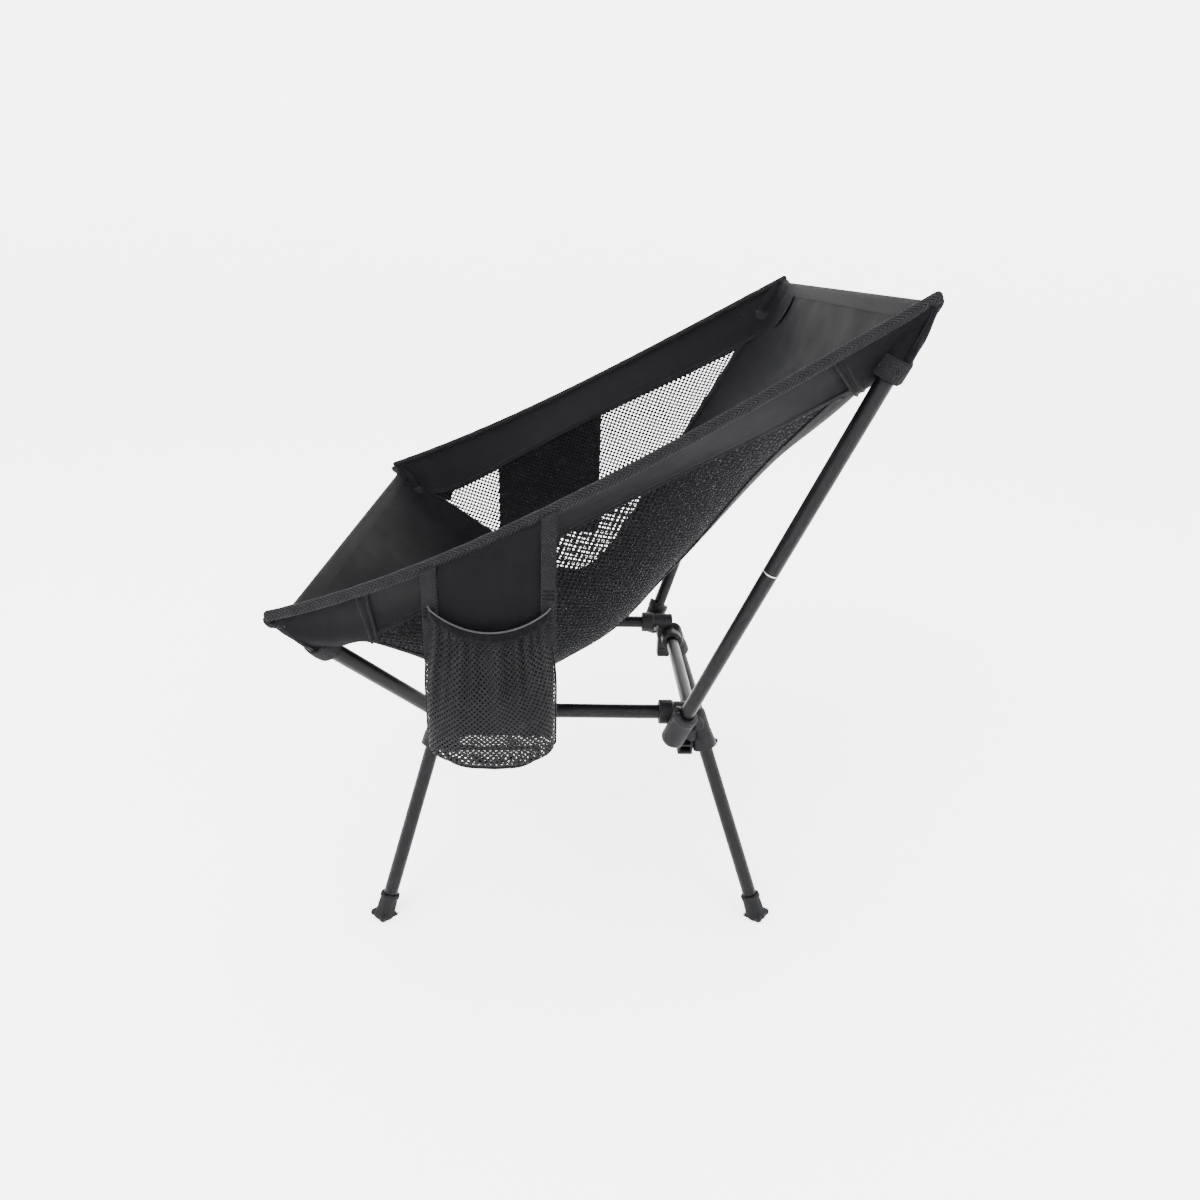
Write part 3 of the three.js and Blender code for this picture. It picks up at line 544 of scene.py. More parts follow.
def hub(place, end, side, mirror):
    """One moulded hub: two rail collars, a leg socket, a pole socket and the webs between them."""
    top, ground = leg_axis(end)
    base, tip = POLES[end]
    bore = TUBE_R + 0.25
    centre_y = HUB_Y * end
    shape = Shape()

    def collar(mouth, back, insert):
        length = float(np.linalg.norm(np.subtract(back, mouth)))
        outer = fillet([(bore, 0.0), (COLLAR_R, 0.0), (COLLAR_R, 13.5), (COLLAR_R - 1.5, 14.6),
                        (COLLAR_R - 1.5, length), (0.01, length)], 1.3)
        shape.lathe([(0.01, insert), (bore, insert), *outer], mouth, back, sides=64)

    collar((HUB_X, centre_y - SIDE_COLLAR_REACH * end, SIDE_RAIL_Z),
           (HUB_X, centre_y + 7 * end, SIDE_RAIL_Z), SIDE_RAIL_INSERT)
    collar((HUB_X - CROSS_COLLAR_REACH, CROSS_RAIL_Y * end, CROSS_RAIL_Z),
           (HUB_X + 6, CROSS_RAIL_Y * end, CROSS_RAIL_Z), CROSS_RAIL_INSERT)

    # The leg socket widens towards its rim, with a shallow step under the flare.
    flare = fillet([(0.01, 3.0), (9.6, 3.0), (11.2, 7.5), (11.3, LEG_MOUTH - 15),
                    (12.1, LEG_MOUTH - 12.5), (12.7, LEG_MOUTH - 1.2), (12.3, LEG_MOUTH),
                    (bore + 0.4, LEG_MOUTH), (bore, LEG_MOUTH - 1.4)], 1.2)
    shape.lathe([*flare, (bore, LEG_START), (0.01, LEG_START)], top, ground, sides=64)

    # The pole socket is a cup with a rounded heel and a raised rim.
    start = pole_at(end, SOCKET_END)
    length = POLE_MOUTH - SOCKET_END
    cup = fillet([(0.01, 0.0), (8.6, 0.2), (12.1, 4.2), (12.1, length - 8), (12.6, length - 6.5),
                  (12.6, length), (bore + 0.3, length), (bore, length - 1.2)], 2.4)
    floor = SOCKET_FLOOR - SOCKET_END
    shape.lathe([*cup, (bore, floor), (0.01, floor)], start, tip, sides=64)

    # A notched lip stands on the side of the rim that faces the other end of the chair.
    lip = pole_at(end, POLE_MOUTH - 1)
    d = unit(np.subtract(tip, base))
    e1, e2 = cross_axes(d, (0, -end, 0))
    fan = np.linspace(-0.85, 0.85, 15)
    rows = []
    for radius, height in ((bore + 0.5, -3), (bore + 0.5, 3.4), (bore + 1.4, 4.6),
                           (11.9, 4.2), (12.6, 2.6), (12.6, -3)):
        drop = 1.0 - 0.75 * np.exp(-((fan / 0.22) ** 2)) if height > 0 else np.ones_like(fan)
        spoke = np.outer(np.cos(fan), e1) + np.outer(np.sin(fan), e2)
        rows.append(lip + spoke * radius + np.outer(height * drop * np.cos(fan * 1.35), d))
    shape.grid(np.array(rows), flip=True)

    # Webs.
    mid = (HUB_X + base[0]) / 2
    web = pole_at(end, -6)
    shape.block((web[0] - HUB_X, 15, 15), (mid, (web[1] + centre_y - 6 * end) / 2, 210), 2.2)
    shape.block((17, 17, 20), (HUB_X, (CROSS_RAIL_Y - 8) * end, 205.5), 2.2)
    shape.block((15.5, 9, 14), (HUB_X + 4, (CROSS_RAIL_Y - 2) * end, 194), 2.4)

    # The open block under the collars: side walls, ribs and a back wall around two windows.
    block_y = (CROSS_RAIL_Y - 7) * end
    for sign in (-1, 1):
        shape.block((15, 2.6, 31), (HUB_X + 1, block_y + sign * 6.4, 184.5), 0.7)
    for z, height in ((170.6, 3.2), (179.4, 2.2), (188.4, 2.6), (198, 3.0)):
        shape.block((15, 14, height), (HUB_X + 1, block_y, z), 0.6)
    shape.block((2.4, 14, 31), (HUB_X - 4.6, block_y, 184.5), 0.6)
    name = f"{place}_{side}"
    return shape.make(f"hub_shell_{name}", HUB, "base", mirror, "hub_nylon", [f"hub_{name}"])


def rivet(name, node, start, facing, mirror):
    """A domed rivet with a shallow dimple where it was set."""
    head = COLLAR_R - TUBE_R - 0.5
    profile = fillet([(1.6, 0.2), (1.6, head), (3.2, head), (3.1, head + 0.9), (2.0, head + 1.9),
                      (1.0, head + 2.05), (0.8, head + 1.5), (0.01, head + 1.4)], 0.4)
    shape = Shape().lathe(profile, start, np.add(start, facing), sides=32)
    return shape.make(name, RIVET, "base", mirror, "rivet_black", [node])


def foot(place, end, side, mirror):
    """A rubber foot: eight flats, a rolled lip round the tube, four lugs and a sole flattened by wear."""
    top, ground = leg_axis(end)
    a = along(ground, top, -2.6)
    d = unit(top - ground)
    e1, e2 = cross_axes(d)
    sides = 96
    angle = np.arange(sides) * 2 * math.pi / sides
    inner = TUBE_R + 0.2
    profile = [(0.05, 0.0), (5.0, 0.0), (8.4, 0.0), (FOOT_R + 0.5, 0.4), (FOOT_R + 1.1, 1.6),
               (FOOT_R + 1.1, 4.6), (FOOT_R + 0.5, 6.4), (FOOT_R + 0.1, 8), (FOOT_R, 14),
               (FOOT_R - 0.4, 21.5), (FOOT_R - 0.3, 22.6), (FOOT_R + 0.1, 23.4),
               (FOOT_R, FOOT_HEIGHT - 0.7), (FOOT_R - 0.6, FOOT_HEIGHT), (inner + 0.6, FOOT_HEIGHT),
               (inner, FOOT_HEIGHT - 0.8), (inner, 12.0)]
    fold = np.mod(angle + math.pi / 8, math.pi / 4) - math.pi / 8
    flat = np.minimum(math.cos(math.pi / 8) / np.cos(fold) * 1.035, 1.0)
    lobe = np.clip(np.cos(4 * (angle - math.pi / 4)), 0, 1) ** 1.6
    rows = []
    for r, t in profile:
        faceted = smoothstep(t, 5, 8) * (1 - smoothstep(t, 21.5, 23.5)) if r > inner else 0.0
        radius = r * (1 + (flat - 1) * faceted)
        if r > 5.5 and t < 9:
            radius = radius + 3.3 * lobe * (1 - smoothstep(t, 4.8, 8.0)) * (0.82 if t < 0.3 else 1)
        rows.append(a + d * t + (np.outer(np.cos(angle), e1) + np.outer(np.sin(angle), e2))
                    * np.reshape(radius, (-1, 1)))
    pts = np.array(rows)
    pts[..., 2] = np.maximum(pts[..., 2], 0.0)
    shape = Shape().grid(pts, ring=True)
    name = f"{place}_{side}"
    return shape.make(f"foot_cup_{name}", RUBBER, f"leg_{name}_body", mirror, "foot_rubber",
                      [f"foot_{name}"], crease=50)


def pole_tip(place, end, side, body, mirror):
    start = pole_at(end, POLE_TOP[end])
    profile = fillet([(TUBE_R - 1.2, 0.3), (TIP_R, 0.3), (TIP_R, TIP_LENGTH - 5),
                      (TIP_R * 0.8, TIP_LENGTH - 1.6), (TIP_R * 0.4, TIP_LENGTH),
                      (0.01, TIP_LENGTH)], 0.9)
    shape = Shape().lathe(profile, start, POLES[end][1], sides=40)
    for k in range(3):
        t = 3.0 + 2.2 * k
        ring = [(TIP_R - 0.1, t), (TIP_R + 0.3, t + 0.35), (TIP_R + 0.3, t + 0.9), (TIP_R - 0.1, t + 1.25)]
        shape.lathe(ring, start, POLES[end][1], sides=40)
    return shape.make(f"tip_cap_{place}_{side}", TIP, body, mirror, "tip_plastic",
                      [f"pole_tip_{place}_{side}"])


def frame_side(side, sign):
    mirror = sign < 0
    for place, end in ENDS:
        name = f"{place}_{side}"
        top, ground = leg_axis(end)
        hub(place, end, side, mirror)
        wall = HUB_X - TUBE_R - 0.8
        rivet(f"rail_rivet_head_{name}", f"rail_rivet_{name}",
              (wall, (HUB_Y - 14) * end, SIDE_RAIL_Z - 2), (-1, 0, 0), mirror)
        rivet(f"cross_rivet_head_{name}", f"cross_rivet_{name}",
              (HUB_X - 22, (CROSS_RAIL_Y + TUBE_R + 0.8) * end, CROSS_RAIL_Z), (0, end, 0), mirror)
        tube(f"leg_tube_{name}", along(top, ground, LEG_START), along(ground, top, 5.5),
             f"leg_{name}_body", mirror, [f"leg_{name}"])
        foot(place, end, side, mirror)
        body = f"front_pole_{side}_body" if end < 0 else f"back_pole_upper_{side}_body"
        pole_tip(place, end, side, body, mirror)
    reach = HUB_Y - SIDE_COLLAR_REACH + SIDE_RAIL_INSERT
    tube(f"side_rail_tube_{side}", (HUB_X, -reach, SIDE_RAIL_Z), (HUB_X, reach, SIDE_RAIL_Z),
         "base", mirror, [f"side_rail_{side}"])
    tube(f"front_pole_tube_{side}", pole_at(-1, SOCKET_FLOOR), pole_at(-1, POLE_TOP[-1]),
         f"front_pole_{side}_body", mirror, [f"front_pole_{side}"])
    tube(f"back_pole_lower_tube_{side}", pole_at(1, SOCKET_FLOOR), pole_at(1, POLE_JOINT - 0.25),
         f"back_pole_lower_{side}_body", mirror, [f"back_pole_lower_{side}"], (0.35, 0.5))
    tube(f"back_pole_upper_tube_{side}", pole_at(1, POLE_JOINT + 0.25), pole_at(1, POLE_TOP[1]),
         f"back_pole_upper_{side}_body", mirror, [f"back_pole_upper_{side}"], (0.5, 0.35))
    # The turned shoulder of the ferrule shows as a thin bright ring at the joint.
    ring = [(TUBE_R - 0.85, -0.7), (TUBE_R + 0.02, -0.55), (TUBE_R + 0.1, 0.0),
            (TUBE_R + 0.02, 0.22), (TUBE_R - 0.85, 0.24)]
    shape = Shape().lathe(ring, pole_at(1, POLE_JOINT), POLES[1][1], closed=True)
    shape.make(f"joint_ring_{side}", BARE, f"back_pole_lower_{side}_body", mirror, "ferrule_bare")


for side, sign in SIDES:
    frame_side(side, sign)
for place, end in ENDS:
    reach = HUB_X - CROSS_COLLAR_REACH + CROSS_RAIL_INSERT
    tube(f"cross_rail_tube_{place}", (-reach, CROSS_RAIL_Y * end, CROSS_RAIL_Z),
         (reach, CROSS_RAIL_Y * end, CROSS_RAIL_Z), "base", False, [f"cross_rail_{place}"])


# ---------------------------------------------------------------- seat surface
def edge_line(v):
    """The left edge of the seat; v runs from 0 at the front corner to 1 at the back corner."""
    v = np.asarray(v, float)
    bow = 4 * v * (1 - v) * (1 + EDGE_SKEW * (1 - 2 * v))
    return (SEAT_FRONT + v[..., None] * (SEAT_BACK - SEAT_FRONT)
            + bow[..., None] * np.array([EDGE_BOW, 0, -EDGE_SAG]))


def band_slope(v):
    return BAND_SLOPE - BAND_EASE * 4 * v * (1 - v)


def band_inner(v):
    """The s of the seam between the side band and the rest of the seat."""
    v = np.atleast_1d(np.asarray(v, float))
    return 1 - BAND_WIDTH * np.cos(band_slope(v)) / edge_line(v)[..., 0]


def seat(s, v):
    """s runs from -1 on the right edge to 1 on the left."""
    s, v = np.broadcast_arrays(np.asarray(s, float), np.asarray(v, float))
    e = edge_line(v)
    depth = hermite(DEPTH_STATIONS, DEPTHS, v)
    out, seam = np.abs(s), band_inner(v).reshape(v.shape)
    drop = depth * (1 - np.exp(-BAND_WIDTH * np.sin(band_slope(v)) / depth))
    hang = np.where(out > seam, drop * (1 - out) / (1 - seam),
                    drop + (depth - drop) * (1 - np.minimum(out / seam, 1) ** SECTION_POWER))
    return np.stack([e[..., 0] * s, e[..., 1] + DEPTH_LEAN * hang, e[..., 2] - hang], axis=-1)


def seat_normal(s, v):
    """Points up and inwards, at the sitter."""
    h = 1e-3
    s, v = np.broadcast_arrays(np.asarray(s, float), np.asarray(v, float))
    s0, s1 = np.clip(s - h, -1, 1), np.clip(s + h, -1, 1)
    v0, v1 = np.clip(v - h, 0, 1), np.clip(v + h, 0, 1)
    return unit(np.cross(seat(s1, v) - seat(s0, v), seat(s, v1) - seat(s, v0)))


def crease(s, v):
    """Height of the soft folds that the pull of the four corners puts into the cloth."""
    s, v = np.broadcast_arrays(np.asarray(s, float), np.asarray(v, float))
    total = np.zeros(s.shape)
    for cs in (-1, 1):
        for cv, turns, size in ((0, 9.0, 2.3), (1, 8.0, 1.9)):
            dx, dy = (1 - cs * s) * 255, np.abs(v - cv) * 560
            r, angle = np.hypot(dx, dy), np.arctan2(dy, dx + 1e-6)
            fall = np.exp(-r / 115) * (1 - np.exp(-((r / 34) ** 2)))
            total += size * fall * np.cos(turns * angle + 0.7 * cs + 1.9 * cv + 0.004 * r)
    x, y = s * 260, v * 560
    total += 0.55 * np.sin(x / 47 + 0.6) * np.sin(y / 61 + 1.1) + 0.35 * np.sin(x / 23 + y / 31)
    return total * (1 - np.abs(s) ** 24) * np.clip(v / 0.02, 0, 1) * np.clip((1 - v) / 0.02, 0, 1)


def cloth_at(s, v, lift=0.0):
    return seat(s, v) + seat_normal(s, v) * (crease(s, v) + lift)[..., None]


INSET_S = np.linspace(1, 0, 501)


def edge_map(low, high, rows, cols):
    """A texture map in millimetres, measured from the edge and along it."""
    part = low[:, None] + (high - low)[:, None] * np.linspace(0, 1, cols)
    line = seat(INSET_S[None, :], rows[:, None])
    run = np.concatenate([np.zeros((len(rows), 1)),
                          np.cumsum(np.linalg.norm(np.diff(line, axis=1), axis=2), axis=1)], axis=1)
    across = np.array([np.interp(p, INSET_S[::-1], r[::-1]) for p, r in zip(part, run)])
    side = edge_line(rows)
    down = np.concatenate([[0], np.cumsum(np.linalg.norm(np.diff(side, axis=0), axis=1))])
    return np.stack([across, np.repeat(down[:, None], cols, axis=1)], axis=2)


def inset(v, distance):
    """The s that lies a distance along the cloth from the edge."""
    v = np.atleast_1d(np.asarray(v, float))
    row = seat(INSET_S[None, :], v[:, None])
    run = np.concatenate([np.zeros((len(v), 1)),
                          np.cumsum(np.linalg.norm(np.diff(row, axis=1), axis=2), axis=1)], axis=1)
    return np.array([np.interp(distance, r, INSET_S) for r in run])


def window_inner(v):
    v = np.atleast_1d(np.asarray(v, float))
    return np.minimum(hermite(WINDOW_STATIONS, WINDOW_INNER, v), band_inner(v) - 0.014)


def panel(low, high, rows, cols, lift=0.0):
    """A grid between two s limits, one for each v in rows."""
    a = np.linspace(0, 1, cols)
    s = low[:, None] + (high - low)[:, None] * a
    v = np.repeat(rows[:, None], cols, axis=1)
    return cloth_at(s, v, np.full(s.shape, lift))


def declare_sheet(obj):
    """Returns the cloth piece unchanged."""
    return obj


def thicken(obj, thickness):
    m = obj.modifiers.new("cloth_thickness", "SOLIDIFY")
    m.thickness = thickness * MM
    m.offset = 0
    return obj


ROWS = np.concatenate([np.linspace(0.003, WINDOW_SPAN[0], 12)[:-1],
                       np.linspace(*WINDOW_SPAN, 150), np.linspace(WINDOW_SPAN[1], 0.997, 18)[1:]])
in_window = (ROWS >= WINDOW_SPAN[0] - 1e-9) & (ROWS <= WINDOW_SPAN[1] + 1e-9)
band_s = band_inner(ROWS)
reach = np.where(in_window, window_inner(ROWS), band_s)

centre = Shape().grid(panel(-reach, reach, ROWS, 97)).make(
    "seat_centre_cloth", OXFORD, "seat", slot="oxford_black", nodes=["centre_panel"], crease=80)
thicken(centre, 0.9)
declare_sheet(centre)

for side, sign in SIDES:
    mirror = sign < 0
    rows = ROWS[in_window]
    inner, outer = window_inner(rows), np.maximum(band_inner(rows), window_inner(rows) + 0.004)
    wall = Shape().grid(panel(inner, outer, rows, 44), uv=edge_map(inner, outer, rows, 44)).make(
        f"seat_mesh_cloth_{side}", MESH, "seat", mirror, "mesh_black", [f"mesh_panel_{side}"], 80)
    declare_sheet(wall)
    edge_s = inset(ROWS, 2.0)
    band = Shape().grid(panel(band_s, edge_s, ROWS, 16)).make(
        f"seat_band_cloth_{side}", OXFORD, "seat", mirror, "oxford_black", [f"side_band_{side}"], 80)
    thicken(band, 1.1)
    declare_sheet(band)


# ---------------------------------------------------------------- seams, hems and binding
def seam_strip(name, s, v, width, thick, mirror=False):
    """A flat sewn strip that follows a line on the seat, standing proud on both faces."""
    path = cloth_at(s, v)
    normal = seat_normal(s, v)
    w, h = width / 2, thick / 2
    section = fillet([(-w, -h * 0.5), (-w * 0.9, -h), (w * 0.9, -h), (w, 0.0), (w * 0.9, h),
                      (-w * 0.9, h), (-w, h * 0.5)], h * 0.6, 2)
    pts = sweep(path, section, hint=normal)
    run = np.concatenate([[0], np.cumsum(np.linalg.norm(np.diff(path, axis=0), axis=1))])
    across = np.array([p[0] + w for p in section] + [section[0][0] + w])
    uv = np.stack(np.broadcast_arrays(across[None, :], run[:, None]), axis=2)
    shape = Shape().grid(pts, uv=uv, ring=True, cap=(True, True))
    return shape.make(name, SEAM, "seat", mirror, "oxford_black", crease=60)


for side, sign in SIDES:
    mirror = sign < 0
    v = np.linspace(WINDOW_SPAN[0], WINDOW_SPAN[1], 140)
    seam_strip(f"window_seam_{side}", window_inner(v), v, 7.0, 2.0, mirror)
    v = np.linspace(0.02, 0.985, 160)
    seam_strip(f"band_seam_{side}", band_inner(v), v, 7.0, 2.2, mirror)


def end_hem(name, end):
    """The folded hem along the front or top edge, sewn down on both faces."""
    s = np.linspace(-0.985, 0.985, 121)
    v_edge = 0.0 if end < 0 else 1.0
    step = 0.002 * (1 if end < 0 else -1)
    start = seat(s, v_edge)
    inward = unit(seat(s, v_edge + step) - start)
    normal = seat_normal(s, np.full(s.shape, v_edge + step))
    per_mm = abs(step) / np.linalg.norm(seat(s, v_edge + step) - start, axis=1)
    rows = []
    lap = [(13.0, 1.3), (9.5, 1.5), (5, 1.5), (1.5, 1.6), (-0.6, 1.3), (-1.5, 0.0),
           (-0.6, -1.3), (1.5, -1.6), (5, -1.5), (9.5, -1.5), (13.0, -1.3)]
    for d, n in lap:
        if d > 0:
            v = v_edge + np.sign(step) * d * per_mm
            base = cloth_at(s, v)
        else:
            base = start + inward * d
        rows.append(base + normal * n)
    pts = np.array(rows).transpose(1, 0, 2)
    run = np.concatenate([[0], np.cumsum(np.linalg.norm(np.diff(start, axis=0), axis=1))])
    arc = np.concatenate([[0], np.cumsum([math.dist(a, b) for a, b in zip(lap, lap[1:])])])
    arc = arc / arc[-1] * 33.0
    uv = np.stack(np.broadcast_arrays(arc[None, :], run[:, None]), axis=2)
    shape = Shape().grid(pts, uv=uv, flip=end < 0)
    return shape.make(name, HEM, "seat", slot="oxford_black", crease=80)


end_hem("front_hem", -1)
end_hem("top_hem", 1)

# The rolled binding runs along each side and ends in a turned-under tab past each corner.
for side, sign in SIDES:
    v = np.linspace(0, 1, 241)
    path = edge_line(v)
    lead = unit(path[0] - path[1])
    tail = unit(path[-1] - path[-2])
    front = [path[0] + lead * d + np.array([0, 0, -0.02 * d * d]) for d in (4.5, 4, 3, 2, 1)]
    back = [path[-1] + tail * d + np.array([0, 0, -0.02 * d * d]) for d in (1, 2, 3, 4, 4.5)]
    path = np.concatenate([front, path, back])
    size = np.ones(len(path))
    size[:3], size[-3:] = (0.25, 0.72, 0.93), (0.93, 0.72, 0.25)
    wobble = 1 + 0.035 * np.sin(np.arange(len(path)) * 0.55) * np.sin(np.arange(len(path)) * 0.13)
    hint = np.array([-0.25, -0.45, 0.87])
    pts = sweep(path, round_section(*ROPE_HALF, 20), hint, size * wobble)
    rope = Shape().grid(pts, ring=True, cap=(True, True))
    nodes = ["edge_binding"] if sign > 0 else []
    rope.make(f"rolled_binding_{side}", ROPE, "seat", sign < 0, "binding_rope", nodes, crease=80)
    for place, end in ENDS:
        corner = edge_line(0.0 if end < 0 else 1.0)
        out = lead if end < 0 else tail
        loop = [corner + out * a + np.array([-1.5, 0, b]) for a, b in
                ((3, -1.5), (3.5, -4.5), (1, -7.5), (-5, -9), (-11, -9.5), (-17, -10))]
        dense = np.array([np.interp(np.linspace(0, 5, 21), range(6), np.array(loop)[:, k])
                          for k in range(3)]).T
        taper = np.interp(np.linspace(0, 1, 21), [0, 0.1, 0.8, 1], [0.5, 0.85, 0.85, 0.3])
        pts = sweep(dense, round_section(4.6, 2.0, 16), (1, 0, 0.1), taper)
        tab = Shape().grid(pts, ring=True, cap=(True, True))
        tab.make(f"binding_tab_{place}_{side}", ROPE, "seat", sign < 0, "binding_rope", crease=80)


# ---------------------------------------------------------------- corner pockets
SLEEVE = {-1: (171.0, 236.0), 1: (383.0, 443.0)}  # from the sleeve's mouth to the corner
PATCH_V = {-1: 0.16, 1: 0.85}


def corner_pocket(place, end, side, mirror):
    """A sleeve sewn under the corner that slips over the pole, and the patch that carries it."""
    mouth_t, corner_t = SLEEVE[end]
    base, tip = POLES[end]
    d = unit(np.subtract(tip, base))
    corner = edge_line(0.0 if end < 0 else 1.0)
    e1, e2 = cross_axes(d, (1, 0, 0))  # e1 looks outwards, e2 along the seat's edge
    if (e2 @ np.array([0, -end, 0])) < 0:
        e2 = -e2
    steps, facets = 40, 40
    tau = np.linspace(0, 1, steps)
    angle = np.arange(facets) * 2 * math.pi / facets
    rows = []
    for k, w in enumerate(tau):
        t = mouth_t + (corner_t - 4 - mouth_t) * w
        centre_pt = pole_at(end, t)
        over_tip = smoothstep(t, POLE_TOP[end] + 6, corner_t - 4)
        centre_pt = centre_pt + (corner - pole_at(end, corner_t)) * over_tip * 0.8
        r_out = 10.6 + 1.1 * math.sin(w * math.pi) - 4.6 * over_tip
        r_in = 11.4 + 5.0 * math.sin(w * math.pi * 0.9) - 5.4 * over_tip
        fold = (0.85 * np.sin(3 * angle + 5.5 * w + end) + 0.55 * np.sin(5 * angle - 7 * w))
        fold = fold * (0.25 + 0.75 * math.sin(math.pi * min(w * 1.15, 1)))
        ca, sa = np.cos(angle), np.sin(angle)
        radius_2 = np.where(sa > 0, r_in, r_out)
        ring = centre_pt + np.outer(ca * (r_out + fold), e1) + np.outer(sa * (radius_2 + fold), e2)
        rows.append(ring)
    rows = np.array(rows)
    flip = np.dot(np.cross(e1, e2), d) < 0
    sleeve = Shape().grid(rows, ring=True, cap=(False, True), flip=flip)
    # The mouth's turned-in hem.
    t0 = pole_at(end, mouth_t)
    inner = t0 + (rows[0] - t0) * 0.87
    lip_rows = [rows[0] * 1.0, rows[0] - d * 1.4, inner - d * 1.2, inner + d * 18]
    sleeve.grid(np.array(lip_rows[::-1]), ring=True, flip=flip)
    name = f"{place}_{side}"
    sleeve.make(f"corner_sleeve_{name}", OXFORD, "seat", mirror, "oxford_black",
                [f"corner_pocket_{name}"], crease=70)

    # A ribbed webbing collar round the mouth of the sleeve.
    band_rows = []
    for t, grow in ((0.4, 0.2), (0.2, 1.3), (2, 1.6), (9, 1.7), (15, 1.6), (17, 1.3), (17.4, 0.2)):
        c = pole_at(end, mouth_t + t)
        k = min(int(t / (corner_t - mouth_t) * steps), steps - 1)
        base_ring = rows[k] + d * (t - (corner_t - 4 - mouth_t) * tau[k])
        band_rows.append(c + (base_ring - c) * (1 + grow / 11.0))
    collar = Shape().grid(np.array(band_rows), ring=True, flip=flip)
    collar.make(f"sleeve_webbing_{name}", WEBBING, "seat", mirror, "webbing_black", crease=70)

    # The patch runs from the sleeve to a double-piped seam down the side wall.
    cols, depth = 34, 22
    tau = np.linspace(0, 1, cols)
    sigma = np.linspace(0, 1, depth)
    v_end = PATCH_V[end]
    v = v_end + ((0.0 if end < 0 else 1.0) - v_end) * (1 - tau)
    v = np.clip(v, 0.004, 0.996)
    low_s = inset(v, BAND_WIDTH + 3)
    slant = 0.066 if end < 0 else -0.035  # keeps the seam square to the binding
    pts = np.zeros((depth, cols, 3))
    top = edge_line(v) + np.array([1.2, 0, -1.0])
    ring_out = rows[:, 0]  # the line of the sleeve that faces outwards
    for j, g in enumerate(sigma):
        s = 1 + (low_s - 1) * g
        leaned = np.clip(v - slant * g * tau, 0.004, 0.996)
        wall_pt = cloth_at(s, leaned, np.full(v.shape, -2.4 - 2.2 * math.sin(math.pi * g)))
        sleeve_line = np.array([np.interp((1 - g) * (steps - 1), range(steps), ring_out[:, k])
                                for k in range(3)]) + e1 * 0.9
        w = smoothstep(tau, 0.0, 0.72)
        mixed = sleeve_line[None, :] * (1 - w)[:, None] + wall_pt * w[:, None]
        puff = 4.0 * math.sin(math.pi * g) * np.sin(math.pi * tau)
        ripple = 0.7 * np.sin(9 * tau + 4 * g) * np.sin(math.pi * tau)
        mixed = mixed + np.outer(puff + ripple, unit(e1 + np.array([0, 0, -0.35])))
        lock = smoothstep(g, 0.0, 0.12)
        pts[j] = top * (1 - lock) + mixed * lock if g < 0.12 else mixed
    patch = Shape().grid(pts, flip=end > 0)
    obj = patch.make(f"corner_patch_{name}", OXFORD, "seat", mirror, "oxford_black", crease=80)
    thicken(obj, 1.0)
    declare_sheet(obj)
    for k, offset in enumerate((0, 3)):
        line = pts[:, cols - 1 - offset] + e1 * 0.6
        cordlet = Shape().grid(sweep(line, round_section(1.3, 1.3, 10), e1), ring=True,
                               cap=(True, True))
        cordlet.make(f"patch_piping_{k}_{name}", SEAM, "seat", mirror, "oxford_black", crease=80)


def corner_lining(place, side, mirror):
    """The quarter-round lining sewn inside each back corner, with a corded edge."""
    reach_s, reach_v = 0.3, 0.11
    r = np.linspace(0.03, 1, 26)
    angle = np.linspace(0.02, math.pi / 2 - 0.02, 40)
    rr, aa = np.meshgrid(r, angle, indexing="ij")
    s = 1 - reach_s * rr * np.cos(aa)
    v = 1 - reach_v * rr * np.sin(aa)
    s = np.minimum(s, 0.985)
    v = np.clip(v, 0.012, 0.988)
    pts = cloth_at(s, v, np.full(s.shape, 0.75))
    name = f"{place}_{side}"
    lining = Shape().grid(pts, flip=False)
    obj = lining.make(f"corner_lining_{name}", OXFORD, "seat", mirror, "oxford_black", crease=80)
    declare_sheet(obj)
    normal = seat_normal(s[-1], v[-1])
    line = pts[-1] + normal * 0.2
    bead = Shape().grid(sweep(line, round_section(0.9, 0.6, 10), normal), ring=True, cap=(True, True))
    bead.make(f"corner_lining_bead_{name}", SEAM, "seat", mirror, "oxford_black", crease=80)


for side, sign in SIDES:
    for place, end in ENDS:
        corner_pocket(place, end, side, sign < 0)
        if end > 0:
            corner_lining(place, side, sign < 0)


# ---------------------------------------------------------------- drink pocket and stash pocket
EDGE_V = np.linspace(0, 1, 801)
EDGE = edge_line(EDGE_V)


def edge_by_y(y):
    """The point of the left edge at a given y."""
    return np.stack([np.interp(y, EDGE[:, 1], EDGE[:, k]) for k in range(3)], axis=-1)


def hanging_strip(y0, y1, bottom, x_low, cols=9, rows=26, bulge=0.0, wrap=3.0):
    """Cloth that hangs from over the binding's outer side down to bottom(y)."""
    y = np.linspace(y0, y1, cols)
    top = edge_by_y(y)
    t = np.linspace(0, 1, rows)
    pts = np.zeros((rows, cols, 3))
    for j, g in enumerate(t):
        z = top[:, 2] - wrap + (bottom(y) - top[:, 2] + wrap) * g
        x_top = top[:, 0] + ROPE_HALF[0] + 0.3
        x = x_top + (x_low - x_top) * smoothstep(g, 0, 0.55)
        x = x + bulge * math.sin(math.pi * g) * np.sin(np.pi * np.linspace(0, 1, cols))
        pts[j] = np.stack([x, y, z], axis=1)
    return pts


